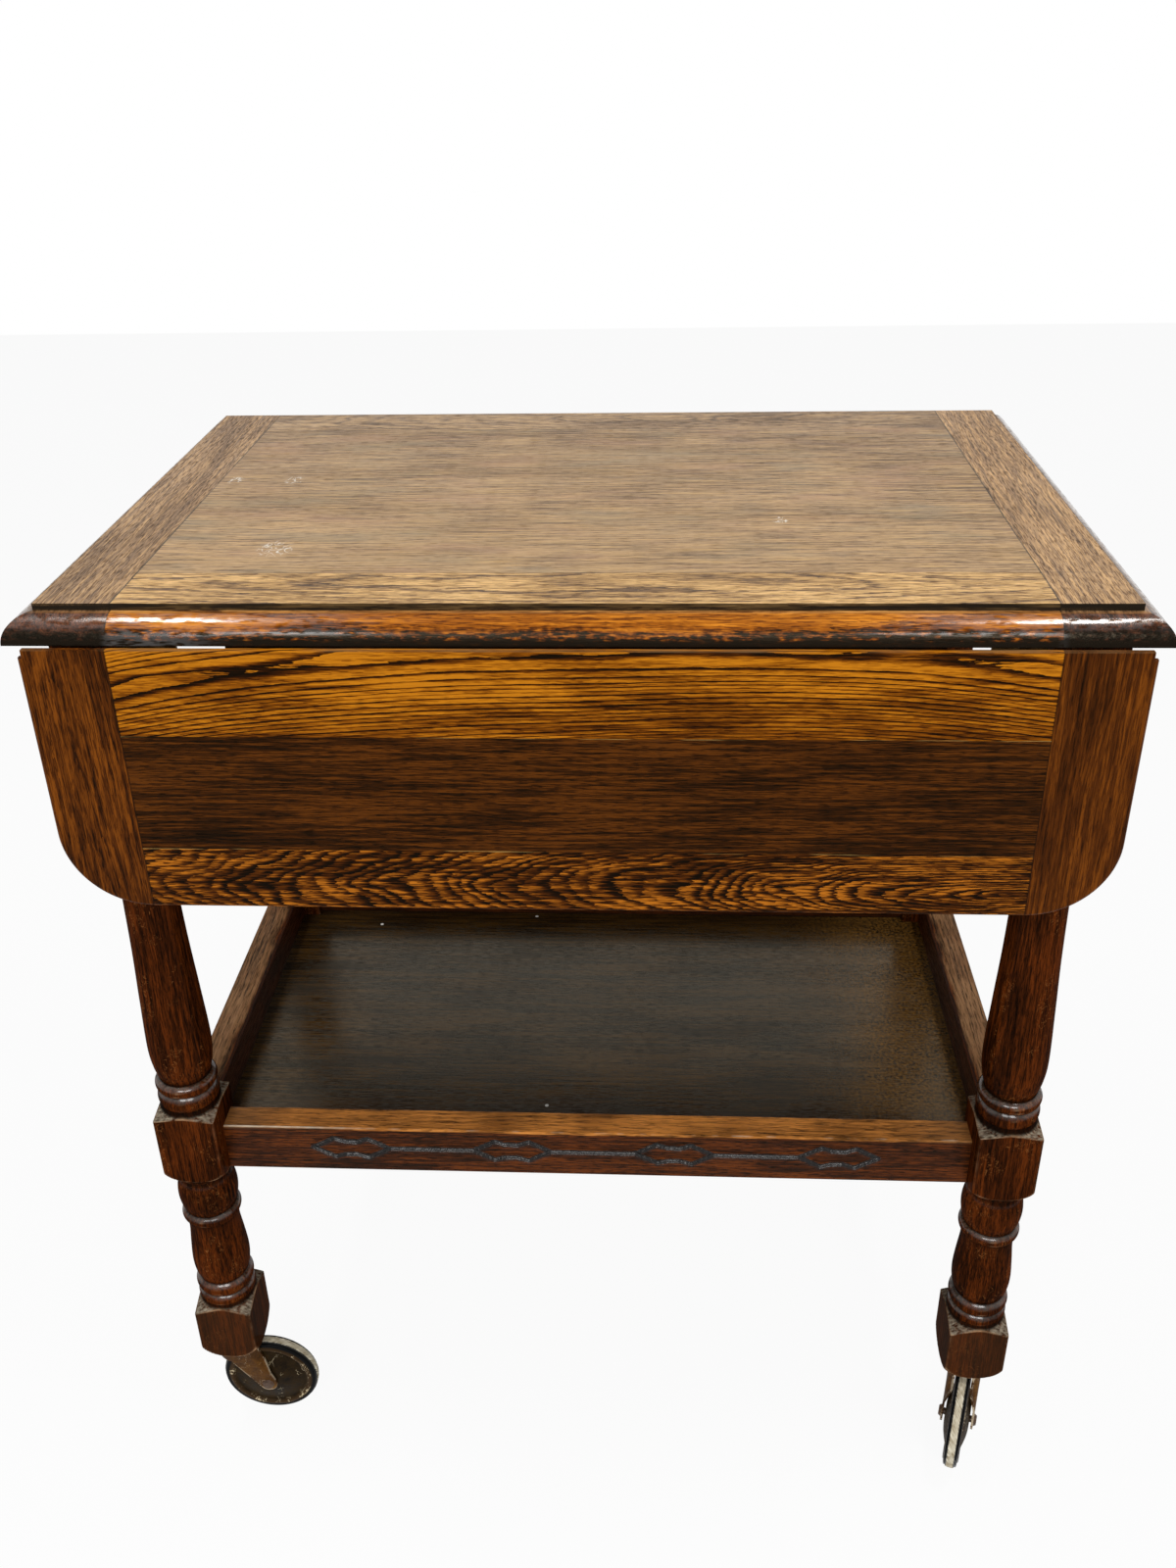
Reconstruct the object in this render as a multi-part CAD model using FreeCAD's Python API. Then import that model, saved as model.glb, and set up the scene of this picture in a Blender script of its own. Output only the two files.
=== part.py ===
import FreeCAD, Part
import math
import os

# Drop leaf tea trolley in stained oak, in millimetres.
# X runs along the length, -Y is the front, +Z is up, and the origin is on the floor under the middle.

V = FreeCAD.Vector
ORIGIN = V(0, 0, 0)
X_AXIS = V(1, 0, 0)
Y_AXIS = V(0, 1, 0)
Z_AXIS = V(0, 0, 1)

# Driving dimensions of the top
top_length = 635.0
top_depth = 422.5
overall_height = 716.0
top_thickness = 19.0
quirk = 4.0                     # step between the flat top and its rounded edge
stile_face = 44.0               # visible flat width of a top stile
rail_face = 46.0                # visible flat width of a top rail
top_panel_thickness = 12.0
panel_ledge = 8.0               # how far a frame member reaches under its panel

# Driving dimensions of a leaf
leaf_width = 170.0              # from the hinge line to the outer edge
leaf_end_setback = 9.0          # how far a leaf stops short of the end of the top
leaf_corner_radius = 50.0
leaf_inner_rail = 54.0          # from the hinge line to the panel
leaf_outer_rail = 41.5
leaf_edge_round = 2.5
leaf_notch_length = 3.0         # the lip stops short of the leaf's ends
leaf_notch_drop = 6.0
rule_clearance = 0.8            # between the rounded edge and the hollow of the leaf

# Driving dimensions of the legs
leg_stock = 43.0
leg_inset_x = 33.3              # from the end of the top to the leg's centre
leg_inset_y = 51.25             # from the front of the top to the leg's centre
foot_bottom = 79.0
foot_corner_top = 126.4
shelf_corner_bottom = 280.0
shelf_corner_top = 320.6
head_corner_bottom = 603.5
neck_radius = 15.4              # thinnest place of the column, near its top
swell_radius = 21.45            # fullest place of the column
swell_above_rings = 28.0

# Driving dimensions of the under-frame
apron_depth = 63.0
apron_thickness = 20.0
end_rail_setback = 6.5          # outer face of an apron or shelf end rail, behind the leg's face
side_rail_setback = 16.5        # front face of a bearer or shelf side rail, behind the leg's face
bearer_depth = 25.5             # in its middle
bearer_end_depth = 18.0         # where it is cut away towards the legs
bearer_end_length = 54.7        # how much of each end is cut away
bearer_thickness = 26.0
cross_width = 40.0
cross_depth = 57.0
tenon_length = 12.0
tenon_thickness = 9.0
tenon_shoulder = 4.0            # wood left above and below a tenon

# Driving dimensions of the shelf
shelf_rail_top = 303.0
shelf_rail_bottom = 264.0
shelf_side_rail_thickness = 20.5
shelf_end_rail_thickness = 22.5
shelf_panel_top = 272.0
shelf_panel_thickness = 6.0
groove_depth = 6.0
panel_play = 0.5                # room for the shelf panel at the bottom of its grooves
end_rail_bevel_width = 9.0
end_rail_bevel_drop = 2.5
edge_ease = 0.8

# Carved chain on the front shelf rail
lozenge_count = 4
lozenge_pitch = 114.7
lozenge_half_length = 27.5
lozenge_peak_offset = 12.0
lozenge_peak_height = 8.7
lozenge_notch_height = 5.6
chain_height = 285.0
chain_groove_width = 2.6
chain_groove_depth = 1.2

# Hinges and screws
hinge_from_stile = 18.5         # from the end of the top rail to the middle of a hinge
hinge_length = 30.0
hinge_top_reach = 25.0
hinge_leaf_reach = 46.0
flap_thickness = 1.8
knuckle_radius = 2.8
hinge_pin_radius = 1.3
hinge_screw_row = 9.0           # half the distance between the screws of one flap
screw_radius = 1.6
screw_head_radius = 3.2
screw_head_height = 0.9
screw_depth = 11.0
bearer_screw_from_leg = 27.7    # from the leg's face to the screw that holds the bearer

# Folding stays, one under each leaf
stay_pivot_in = 60.0            # frame pivot, inwards from the hinge line
stay_pivot_down = 42.0          # frame pivot, below the hinge line
stay_leaf_along = 38.0          # leaf pivot, along the leaf from the hinge line
stay_leaf_off = 12.0            # leaf pivot, off the underside of the leaf
stay_share = 0.34               # share of the length of the stay that is the lower arm
stay_bar_width = 10.0
stay_bar_thickness = 2.0
stay_rivet_radius = 2.0
stay_plate_length = 34.0
stay_screw_shares = (0.4, 0.8)  # places of a plate's screws along its length

# Castors
wheel_radius = 37.5
castor_trail = 22.0
tyre_width = 7.0
tyre_height = 6.4
flange_gap = 1.2                # how far the tyre stands proud of its flanges
flange_thickness = 1.4
hub_half_width = 9.0
hub_radius = 8.0
axle_radius = 2.5
axle_head_radius = 4.6
axle_head_length = 2.0
fork_inner_half = 10.6
fork_thickness = 1.6
fork_end_radius = 7.0
fork_top_half_length = 15.0
crown_radius = 16.5
crown_thickness = 1.5
stem_radius = 4.0
stem_length = 27.0
socket_wall = 2.6
socket_plate_thickness = 1.5
front_right_swivel = 251.8      # direction of the wheel's trail, in degrees from +X
front_left_swivel = 0.0

# Clearances
running = 0.05                  # round parts that turn in each other
seat = 0.05                     # round parts that are fixed in each other
side_play = 0.3                 # between bars that pass each other
face_play = 0.1                 # between flat bearing faces

# Places worked out from the dimensions above
ovolo_radius = top_thickness - quirk
top_half_x = top_length / 2
top_half_y = top_depth / 2
flat_half_x = top_half_x - ovolo_radius
flat_half_y = top_half_y - ovolo_radius
top_underside = overall_height - top_thickness
panel_half_x = flat_half_x - stile_face
panel_half_y = flat_half_y - rail_face
panel_underside = overall_height - top_panel_thickness
leg_x = top_half_x - leg_inset_x
leg_y = top_half_y - leg_inset_y
leg_half = leg_stock / 2
leg_inner_x = leg_x - leg_half
leg_inner_y = leg_y - leg_half
end_rail_outer = leg_x + leg_half - end_rail_setback
side_rail_outer = leg_y + leg_half - side_rail_setback
hinge_y = flat_half_y
hinge_z = top_underside
cove_radius = ovolo_radius + rule_clearance
leaf_half = top_half_x - leaf_end_setback
leaf_panel_half = panel_half_x
leaf_bottom = hinge_z - leaf_width
hinge_place = panel_half_x - hinge_from_stile
hinge_places = (-hinge_place, hinge_place)
bearer_middle_half = leg_inner_x - bearer_end_length
bearer_screw_place = leg_inner_x - bearer_screw_from_leg

os.makedirs("parts", exist_ok=True)


def box(x0, x1, y0, y1, z0, z1):
    """A block between two opposite corners."""
    return Part.makeBox(x1 - x0, y1 - y0, z1 - z0, V(x0, y0, z0))


def rod(radius, start, end):
    """A cylinder from one point to another."""
    along = end - start
    return Part.makeCylinder(radius, along.Length, start, along)


def plate(points, thickness_vector):
    """A flat plate with a straight-sided outline, thickened along one vector."""
    outline = Part.makePolygon(list(points) + [points[0]])
    return Part.Face(outline).extrude(thickness_vector)


def fused(shapes):
    """One solid made of several that touch or overlap."""
    shapes = list(shapes)
    if len(shapes) == 1:
        return shapes[0]
    return shapes[0].multiFuse(shapes[1:]).removeSplitter()


def cut(shape, tools):
    """A solid less every tool in the list."""
    tools = list(tools)
    if not tools:
        return shape
    return shape.cut(tools)


def other_side(shape):
    """The same piece turned half a turn about the middle, for the back of the trolley."""
    turned = shape.copy()
    turned.rotate(ORIGIN, Z_AXIS, 180)
    return turned


def mirrored(shape, normal):
    """The same piece on the other side of a middle plane."""
    return shape.mirror(ORIGIN, normal)


def eased(shape, keep, radius):
    """Round the straight edges whose middle satisfies a test."""
    chosen = []
    for edge in shape.Edges:
        middle = edge.valueAt((edge.FirstParameter + edge.LastParameter) / 2)
        if isinstance(edge.Curve, Part.Line) and keep(middle):
            chosen.append(edge)
    return shape.makeFillet(radius, chosen)


def save(name, shapes):
    """Write one node, which may be a group of separate solids."""
    shapes = shapes if isinstance(shapes, list) else [shapes]
    solids = [solid for shape in shapes for solid in shape.Solids]
    body = solids[0] if len(solids) == 1 else Part.makeCompound(solids)
    body.exportStep("parts/" + name + ".step")
    print(name, len(solids), round(sum(solid.Volume for solid in solids)))


# ---------------------------------------------------------------- screws

def screw(head_place, into):
    """A round-head screw: a low head on the surface and a plain shank below it."""
    head = rod(screw_head_radius, head_place, head_place - into * screw_head_height)
    shank = rod(screw_radius, head_place, head_place + into * screw_depth)
    return fused([head, shank])


def screw_hole(head_place, into):
    """The hole that one screw's shank needs."""
    depth = screw_depth + face_play
    return rod(screw_radius + seat, head_place - into, head_place + into * depth)


# ---------------------------------------------------------------- rule-jointed top

def edge_section(half, across):
    """Section of the whole top: flat, quirk and quarter round on both edges."""
    flat = half - ovolo_radius
    shoulder = overall_height - quirk
    bend = ovolo_radius * math.sqrt(0.5)

    def point(distance, height):
        return V(distance, 0, height) if across == "x" else V(0, distance, height)

    edges = []
    for side in (1, -1):
        top_corner = point(side * flat, overall_height)
        foot_of_quirk = point(side * flat, shoulder)
        nose_middle = point(side * (flat + bend), top_underside + bend)
        nose_end = point(side * half, top_underside)
        edges.append(Part.makeLine(top_corner, foot_of_quirk))
        edges.append(Part.Arc(foot_of_quirk, nose_middle, nose_end).toShape())
    edges.append(Part.makeLine(point(-flat, overall_height), point(flat, overall_height)))
    edges.append(Part.makeLine(point(-half, top_underside), point(half, top_underside)))
    return Part.Face(Part.Wire(Part.__sortEdges__(edges)))


def top_blank():
    """The edge section carried along both ways, so that the rounded edges mitre at the corners."""
    across_y = edge_section(top_half_y, "y")
    across_y.translate(V(-top_half_x, 0, 0))
    across_x = edge_section(top_half_x, "x")
    across_x.translate(V(0, -top_half_y, 0))
    along_x = across_y.extrude(V(top_length, 0, 0))
    along_y = across_x.extrude(V(0, top_depth, 0))
    return along_x.common(along_y)


def knuckle_room(x):
    """Hollow for one hinge knuckle under the edge of the top, at the front."""
    half = hinge_length / 2 + side_play
    centre_start = V(x - half, -hinge_y, hinge_z)
    centre_end = V(x + half, -hinge_y, hinge_z)
    return rod(knuckle_radius + side_play, centre_start, centre_end)


def hinge_top_screws():
    """Places of the screws that hold the front hinges to the top."""
    y = -hinge_y + knuckle_radius + hinge_top_reach * 0.6
    return [V(x + side * hinge_screw_row, y, hinge_z - flap_thickness)
            for x in hinge_places for side in (-1, 1)]


def bearer_screws():
    """Places of the screws that hold the front bearer to the top."""
    y = -side_rail_outer + bearer_thickness / 3
    return [V(side * bearer_screw_place, y, top_underside - screw_depth / 2) for side in (-1, 1)]


blank = top_blank()
panel_room = box(-panel_half_x, panel_half_x, -panel_half_y, panel_half_y, panel_underside, overall_height)
inside = box(-panel_half_x + panel_ledge, panel_half_x - panel_ledge,
             -panel_half_y + panel_ledge, panel_half_y - panel_ledge, top_underside, overall_height)
frame = blank.cut([panel_room, inside])
hinge_rooms = [knuckle_room(x) for x in hinge_places]
top_drillings = [screw_hole(place, Z_AXIS) for place in hinge_top_screws() + bearer_screws()]
right_stile = frame.common(box(panel_half_x, top_half_x, -top_half_y, top_half_y,
                               top_underside, overall_height))
front_rail = frame.common(box(-panel_half_x, panel_half_x, -top_half_y, -panel_half_y + panel_ledge,
                              top_underside, overall_height))
stile_ledge = frame.common(box(panel_half_x - panel_ledge, panel_half_x,
                               -panel_half_y + panel_ledge, panel_half_y - panel_ledge,
                               top_underside, panel_underside))
right_stile = fused([right_stile, stile_ledge])
front_rail = cut(front_rail, hinge_rooms + top_drillings)
save("top_panel", panel_room)
save("top_right_stile", right_stile)
save("top_left_stile", other_side(right_stile))
save("top_front_rail", front_rail)
save("top_back_rail", other_side(front_rail))


# ---------------------------------------------------------------- leaves, hanging

def leaf_outline():
    """Outline of a hanging leaf: square at the hinge, large round corners at the outer edge."""
    radius = leaf_corner_radius
    corner = radius * (1 - math.sqrt(0.5))
    top = hinge_z - rule_clearance
    right_corner = Part.Arc(V(leaf_half, 0, leaf_bottom + radius),
                            V(leaf_half - corner, 0, leaf_bottom + corner),
                            V(leaf_half - radius, 0, leaf_bottom)).toShape()
    left_corner = Part.Arc(V(radius - leaf_half, 0, leaf_bottom),
                           V(corner - leaf_half, 0, leaf_bottom + corner),
                           V(-leaf_half, 0, leaf_bottom + radius)).toShape()
    edges = [Part.makeLine(V(-leaf_half, 0, top), V(leaf_half, 0, top)),
             Part.makeLine(V(leaf_half, 0, top), V(leaf_half, 0, leaf_bottom + radius)),
             right_corner,
             Part.makeLine(V(leaf_half - radius, 0, leaf_bottom), V(radius - leaf_half, 0, leaf_bottom)),
             left_corner,
             Part.makeLine(V(-leaf_half, 0, leaf_bottom + radius), V(-leaf_half, 0, top))]
    return Part.Wire(Part.__sortEdges__(edges))


def leaf_blank():
    """The front leaf in one piece: rounded outer edge, and the hollow that goes round the top's edge."""
    face = Part.Face(leaf_outline())
    face.translate(V(0, -hinge_y, 0))
    blank = face.extrude(V(0, -top_thickness, 0))
    outer_face = -hinge_y - top_thickness
    rim = [edge for edge in blank.Edges
           if abs(edge.BoundBox.YMin - outer_face) < 0.01 and abs(edge.BoundBox.YMax - outer_face) < 0.01
           and edge.BoundBox.ZMin < hinge_z - rule_clearance - 1]
    blank = blank.makeFillet(leaf_edge_round, rim)
    reach = leaf_half + 1
    hollow = rod(cove_radius, V(-reach, -hinge_y, hinge_z), V(reach, -hinge_y, hinge_z))
    notches = []
    for side in (-1, 1):
        ends = sorted((side * (leaf_half - leaf_notch_length), side * reach))
        notches.append(box(ends[0], ends[1], outer_face - 1, -hinge_y + 1,
                           hinge_z - leaf_notch_drop, hinge_z + 1))
    return blank.cut([hollow] + notches)


def hinge_leaf_screws():
    """Places of the screws that hold the front hinges to the leaf."""
    z = hinge_z - hinge_leaf_reach * 0.75
    return [V(x + side * hinge_screw_row, -hinge_y + flap_thickness, z)
            for x in hinge_places for side in (-1, 1)]


# The stay turns in a plane parallel to YZ, just beside the cross bearer.
cross_half = cross_width / 2
lower_arm_x = cross_half + stay_bar_thickness + side_play
upper_arm_x = lower_arm_x + stay_bar_thickness + side_play
lug_x = upper_arm_x + stay_bar_thickness + side_play


def stay_leaf_screws():
    """Places of the screws that hold the stay's plate to the front leaf."""
    z = hinge_z - stay_leaf_along
    return [V(lug_x + stay_plate_length * share, -hinge_y + stay_bar_thickness, z)
            for share in stay_screw_shares]


into_leaf = V(0, -1, 0)
leaf = leaf_blank()
outer_y = -hinge_y - top_thickness
leaf_panel_top = hinge_z - leaf_inner_rail
leaf_panel_bottom = leaf_bottom + leaf_outer_rail
leaf_panel_back = outer_y + top_panel_thickness
leaf_panel = box(-leaf_panel_half, leaf_panel_half, outer_y, leaf_panel_back,
                 leaf_panel_bottom, leaf_panel_top)
leaf_inside = box(-leaf_panel_half + panel_ledge, leaf_panel_half - panel_ledge, outer_y, -hinge_y,
                  leaf_panel_bottom + panel_ledge, leaf_panel_top - panel_ledge)
leaf_frame = leaf.cut([leaf_panel, leaf_inside])
leaf_drillings = [screw_hole(place, into_leaf) for place in hinge_leaf_screws() + stay_leaf_screws()]
far = leaf_half + 1
leaf_inner = leaf_frame.common(box(-leaf_panel_half, leaf_panel_half, outer_y, -hinge_y,
                                   leaf_panel_top - panel_ledge, hinge_z))
leaf_outer = leaf_frame.common(box(-leaf_panel_half, leaf_panel_half, outer_y, -hinge_y,
                                   leaf_bottom, leaf_panel_bottom + panel_ledge))
leaf_right = leaf_frame.common(box(leaf_panel_half, far, outer_y, -hinge_y, leaf_bottom, hinge_z))
leaf_ledge = leaf_frame.common(box(leaf_panel_half - panel_ledge, leaf_panel_half,
                                   leaf_panel_back, -hinge_y,
                                   leaf_panel_bottom + panel_ledge, leaf_panel_top - panel_ledge))
leaf_right = fused([leaf_right, leaf_ledge])
leaf_left = mirrored(leaf_right, X_AXIS)
leaf_inner = cut(leaf_inner, leaf_drillings)
save("front_leaf_panel", leaf_panel)
save("front_leaf_inner_rail", leaf_inner)
save("front_leaf_outer_rail", leaf_outer)
save("front_leaf_left_stile", leaf_left)
save("front_leaf_right_stile", leaf_right)
save("back_leaf_panel", other_side(leaf_panel))
save("back_leaf_inner_rail", other_side(leaf_inner))
save("back_leaf_outer_rail", other_side(leaf_outer))
save("back_leaf_left_stile", other_side(leaf_right))
save("back_leaf_right_stile", other_side(leaf_left))


# ---------------------------------------------------------------- hinges

def hinge_parts(x):
    """Top flap, leaf flap and pin of one front hinge; the leaf hangs."""
    third = hinge_length / 3
    left = x - hinge_length / 2
    right = x + hinge_length / 2
    clear = knuckle_radius + side_play
    outer_knuckles = [(left, left + third - face_play), (right - third + face_play, right)]
    middle_knuckle = [(left + third, right - third)]

    def knuckles(spans):
        return [rod(knuckle_radius, V(a, -hinge_y, hinge_z), V(b, -hinge_y, hinge_z)) for a, b in spans]

    y_start = -hinge_y + clear
    z_low = hinge_z - flap_thickness
    top_plate = box(left, right, y_start, -hinge_y + clear + hinge_top_reach, z_low, hinge_z)
    top_tails = [box(a, b, -hinge_y, y_start, z_low, hinge_z) for a, b in outer_knuckles]
    y_flap = -hinge_y + flap_thickness
    z_start = hinge_z - clear
    leaf_plate = box(left, right, -hinge_y, y_flap, hinge_z - hinge_leaf_reach, z_start)
    leaf_tails = [box(a, b, -hinge_y, y_flap, z_start, hinge_z) for a, b in middle_knuckle]
    bore_start = V(left - 1, -hinge_y, hinge_z)
    bore_end = V(right + 1, -hinge_y, hinge_z)
    fixed_bore = rod(hinge_pin_radius + seat, bore_start, bore_end)
    turning_bore = rod(hinge_pin_radius + running, bore_start, bore_end)
    top_flap = cut(fused([top_plate] + top_tails + knuckles(outer_knuckles)), [fixed_bore])
    leaf_flap = cut(fused([leaf_plate] + leaf_tails + knuckles(middle_knuckle)), [turning_bore])
    pin = rod(hinge_pin_radius, V(left, -hinge_y, hinge_z), V(right, -hinge_y, hinge_z))
    return top_flap, leaf_flap, pin


top_flaps = []
leaf_flaps = []
hinge_pins = []
for place in hinge_places:
    top_flap, leaf_flap, pin = hinge_parts(place)
    top_flaps.append(cut(top_flap, [screw_hole(p, Z_AXIS) for p in hinge_top_screws()]))
    leaf_flaps.append(cut(leaf_flap, [screw_hole(p, into_leaf) for p in hinge_leaf_screws()]))
    hinge_pins.append(pin)
save("hinge_top_flaps", top_flaps + [other_side(flap) for flap in top_flaps])
save("hinge_pins", hinge_pins + [other_side(pin) for pin in hinge_pins])
save("front_hinge_leaf_flaps", leaf_flaps)
save("back_hinge_leaf_flaps", [other_side(flap) for flap in leaf_flaps])


# ---------------------------------------------------------------- turned legs

def leg_profile():
    """Half section of a leg from the foot to the top, as distances from its axis and heights."""
    block = leg_stock * 0.73    # beyond the corner of the square stock
    rings_above_foot = foot_corner_top + 9.4
    vase_foot = rings_above_foot + 21.2
    shelf_under = shelf_corner_bottom - 16.0
    bulb_top = shelf_under - 7.5
    ring_top = bulb_top - 30.5
    vase_top = ring_top - 9.5
    vase_height = vase_top - vase_foot
    rings_above_shelf = shelf_corner_top + 7.4
    column_foot = rings_above_shelf + 22.6
    swell = column_foot + swell_above_rings
    column_top = head_corner_bottom - 23.5
    column_height = column_top - swell
    edges = []
    here = [V(0, 0, foot_bottom)]

    def line(radius, height):
        there = V(radius, 0, height)
        edges.append(Part.makeLine(here[0], there))
        here[0] = there

    def arc(through_radius, through_height, radius, height):
        there = V(radius, 0, height)
        edges.append(Part.Arc(here[0], V(through_radius, 0, through_height), there).toShape())
        here[0] = there

    def curve(points):
        path = [here[0]] + [V(radius, 0, height) for radius, height in points]
        spline = Part.BSplineCurve()
        spline.interpolate(path)
        edges.append(spline.toShape())
        here[0] = path[-1]

    line(19.0, foot_bottom)                                              # under the foot
    arc(27.8, foot_bottom + 6.8, block, foot_bottom + 20.5)
    line(block, foot_corner_top - 0.4)                                   # foot block
    curve([(25.0, foot_corner_top + 2.9), (leg_half, foot_corner_top + 6.0), (20.0, rings_above_foot)])
    arc(21.1, rings_above_foot + 4.4, 19.6, rings_above_foot + 9.2)      # collar
    arc(21.4, rings_above_foot + 15.0, 19.2, rings_above_foot + 20.8)    # bead
    line(18.9, vase_foot)
    curve([(20.2, vase_foot + vase_height * 0.11), (20.9, vase_foot + vase_height * 0.29),
           (19.8, vase_foot + vase_height * 0.56), (18.4, vase_foot + vase_height * 0.82),
           (18.6, vase_top)])                                            # vase
    arc(21.4, (vase_top + ring_top) / 2, 18.6, ring_top)                 # ring
    arc(21.4, (ring_top + bulb_top) / 2, 18.4, bulb_top)                 # bulb
    line(18.4, shelf_under - 3.6)
    line(19.8, shelf_under - 3.2)
    line(19.8, shelf_under - 0.8)
    line(20.0, shelf_under)
    arc(28.4, shelf_under + 5.4, block, shelf_corner_bottom)
    line(block, shelf_corner_top - 0.4)                                  # shelf block
    curve([(25.0, shelf_corner_top + 1.2), (leg_half, shelf_corner_top + 3.0), (19.7, rings_above_shelf)])
    arc(21.1, rings_above_shelf + 7.0, 19.8, rings_above_shelf + 12.8)   # collar
    arc(21.4, rings_above_shelf + 17.8, 18.0, rings_above_shelf + 22.2)  # bead
    line(17.9, column_foot)
    curve([(20.2, column_foot + swell_above_rings * 0.38), (swell_radius, swell),
           (20.0, swell + column_height * 0.2), (18.2, swell + column_height * 0.42),
           (16.8, swell + column_height * 0.74), (neck_radius, column_top)])    # column
    arc(18.6, column_top + 4.2, 16.2, column_top + 8.4)                  # bead under the head
    arc(20.2, column_top + 12.6, 19.8, column_top + 16.4)                # collar under the head
    curve([(leg_half, column_top + 20.0), (25.0, column_top + 22.0), (block, head_corner_bottom)])
    line(block, top_underside)                                           # head block
    line(0, top_underside)
    line(0, foot_bottom)
    return Part.Face(Part.Wire(edges))


def tenon_box(length_axis, ends, low, high, centre):
    """The space of one tenon, long in X or in Y."""
    half = tenon_thickness / 2
    if length_axis == "x":
        return box(ends[0], ends[1], centre - half, centre + half, low, high)
    return box(centre - half, centre + half, ends[0], ends[1], low, high)


# Each pair of rails: tenon heights, and the middle line that the tenons lie on.
shelf_tenon = (shelf_rail_bottom + tenon_shoulder, shelf_rail_top - tenon_shoulder)
apron_tenon = (top_underside - apron_depth + tenon_shoulder, top_underside - tenon_shoulder)
bearer_tenon = (top_underside - bearer_end_depth + tenon_shoulder, top_underside - tenon_shoulder)
shelf_side_line = side_rail_outer - shelf_side_rail_thickness / 2
shelf_end_line = end_rail_outer - shelf_end_rail_thickness / 2
apron_line = end_rail_outer - apron_thickness / 2
bearer_line = side_rail_outer - bearer_thickness / 2
into_leg_x = (leg_inner_x - 1, leg_inner_x + tenon_length)
into_leg_y = (leg_inner_y - 1, leg_inner_y + tenon_length)


def back_right_leg():
    """A turned leg, square where the rails meet it, with mortises and a hole for the castor."""
    turned = leg_profile().revolve(ORIGIN, Z_AXIS, 360)
    stock = box(-leg_half, leg_half, -leg_half, leg_half, 0, overall_height)
    leg = turned.common(stock)
    leg.translate(V(leg_x, leg_y, 0))
    mortises = [tenon_box("x", into_leg_x, *shelf_tenon, shelf_side_line),
                tenon_box("y", into_leg_y, *shelf_tenon, shelf_end_line),
                tenon_box("y", into_leg_y, *apron_tenon, apron_line),
                tenon_box("x", into_leg_x, *bearer_tenon, bearer_line)]
    socket_top = foot_bottom + stem_length + 2
    socket_hole = rod(stem_radius + socket_wall + seat, V(leg_x, leg_y, 0), V(leg_x, leg_y, socket_top))
    return leg.cut(mortises + [socket_hole])


leg = back_right_leg()
save("back_right_leg", leg)
save("back_left_leg", mirrored(leg, X_AXIS))
save("front_right_leg", mirrored(leg, Y_AXIS))
save("front_left_leg", other_side(leg))


# ---------------------------------------------------------------- aprons and bearers

def tenoned(body, length_axis, shoulder_at, tenon_heights, line):
    """A rail body with a tenon at each end."""
    tips = (shoulder_at + tenon_length - face_play, shoulder_at)
    tenons = [tenon_box(length_axis, (-tips[0], -tips[1]), *tenon_heights, line),
              tenon_box(length_axis, (tips[1], tips[0]), *tenon_heights, line)]
    return fused([body] + tenons)


def lower_edges(height):
    """Test for the long edges at one height."""
    return lambda middle: abs(middle.z - height) < 0.01


apron = box(end_rail_outer - apron_thickness, end_rail_outer, -leg_inner_y, leg_inner_y,
            top_underside - apron_depth, top_underside)
apron = eased(apron, lower_edges(top_underside - apron_depth), edge_ease)
apron = tenoned(apron, "y", leg_inner_y, apron_tenon, apron_line)
save("right_apron", apron)
save("left_apron", other_side(apron))

bearer = fused([box(-leg_inner_x, leg_inner_x, -side_rail_outer, -side_rail_outer + bearer_thickness,
                    top_underside - bearer_end_depth, top_underside),
                box(-bearer_middle_half, bearer_middle_half,
                    -side_rail_outer, -side_rail_outer + bearer_thickness,
                    top_underside - bearer_depth, top_underside - bearer_end_depth)])
bearer = tenoned(bearer, "x", leg_inner_x, bearer_tenon, -bearer_line)
bearer_holes = []
for place in bearer_screws():
    bearer_holes.append(screw_hole(place, Z_AXIS))
    bearer_holes.append(rod(screw_head_radius + side_play, V(place.x, place.y, 0), place))
bearer = cut(bearer, bearer_holes)
save("front_bearer", bearer)
save("back_bearer", other_side(bearer))

# The cross bearer is notched over the two long bearers and carries the stays.
between_bearers = side_rail_outer - bearer_thickness
cross_bottom = top_underside - cross_depth
cross = fused([box(-cross_half, cross_half, -between_bearers, between_bearers, cross_bottom, top_underside),
               box(-cross_half, cross_half, -side_rail_outer, side_rail_outer,
                   cross_bottom, top_underside - bearer_depth)])


# ---------------------------------------------------------------- folding stays

def stay_points():
    """Frame pivot, elbow and leaf pivot of the front stay while the leaf hangs, and its arms' lengths."""
    frame_pivot = (stay_pivot_in, -stay_pivot_down)
    hanging = (stay_leaf_off, -stay_leaf_along)
    raised = (-stay_leaf_along, -stay_leaf_off)
    length = math.dist(raised, frame_pivot)
    lower = length * stay_share
    upper = length - lower
    span = math.dist(hanging, frame_pivot)
    along = (lower ** 2 - upper ** 2 + span ** 2) / (2 * span)
    aside = math.sqrt(lower ** 2 - along ** 2)
    unit = ((hanging[0] - frame_pivot[0]) / span, (hanging[1] - frame_pivot[1]) / span)
    elbow = (frame_pivot[0] + unit[0] * along - unit[1] * aside,
             frame_pivot[1] + unit[1] * along + unit[0] * aside)
    return frame_pivot, elbow, hanging, raised, lower, upper


def at_hinge(x, point):
    """A point given inwards and upwards from the front hinge line."""
    return V(x, -hinge_y + point[0], hinge_z + point[1])


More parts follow.
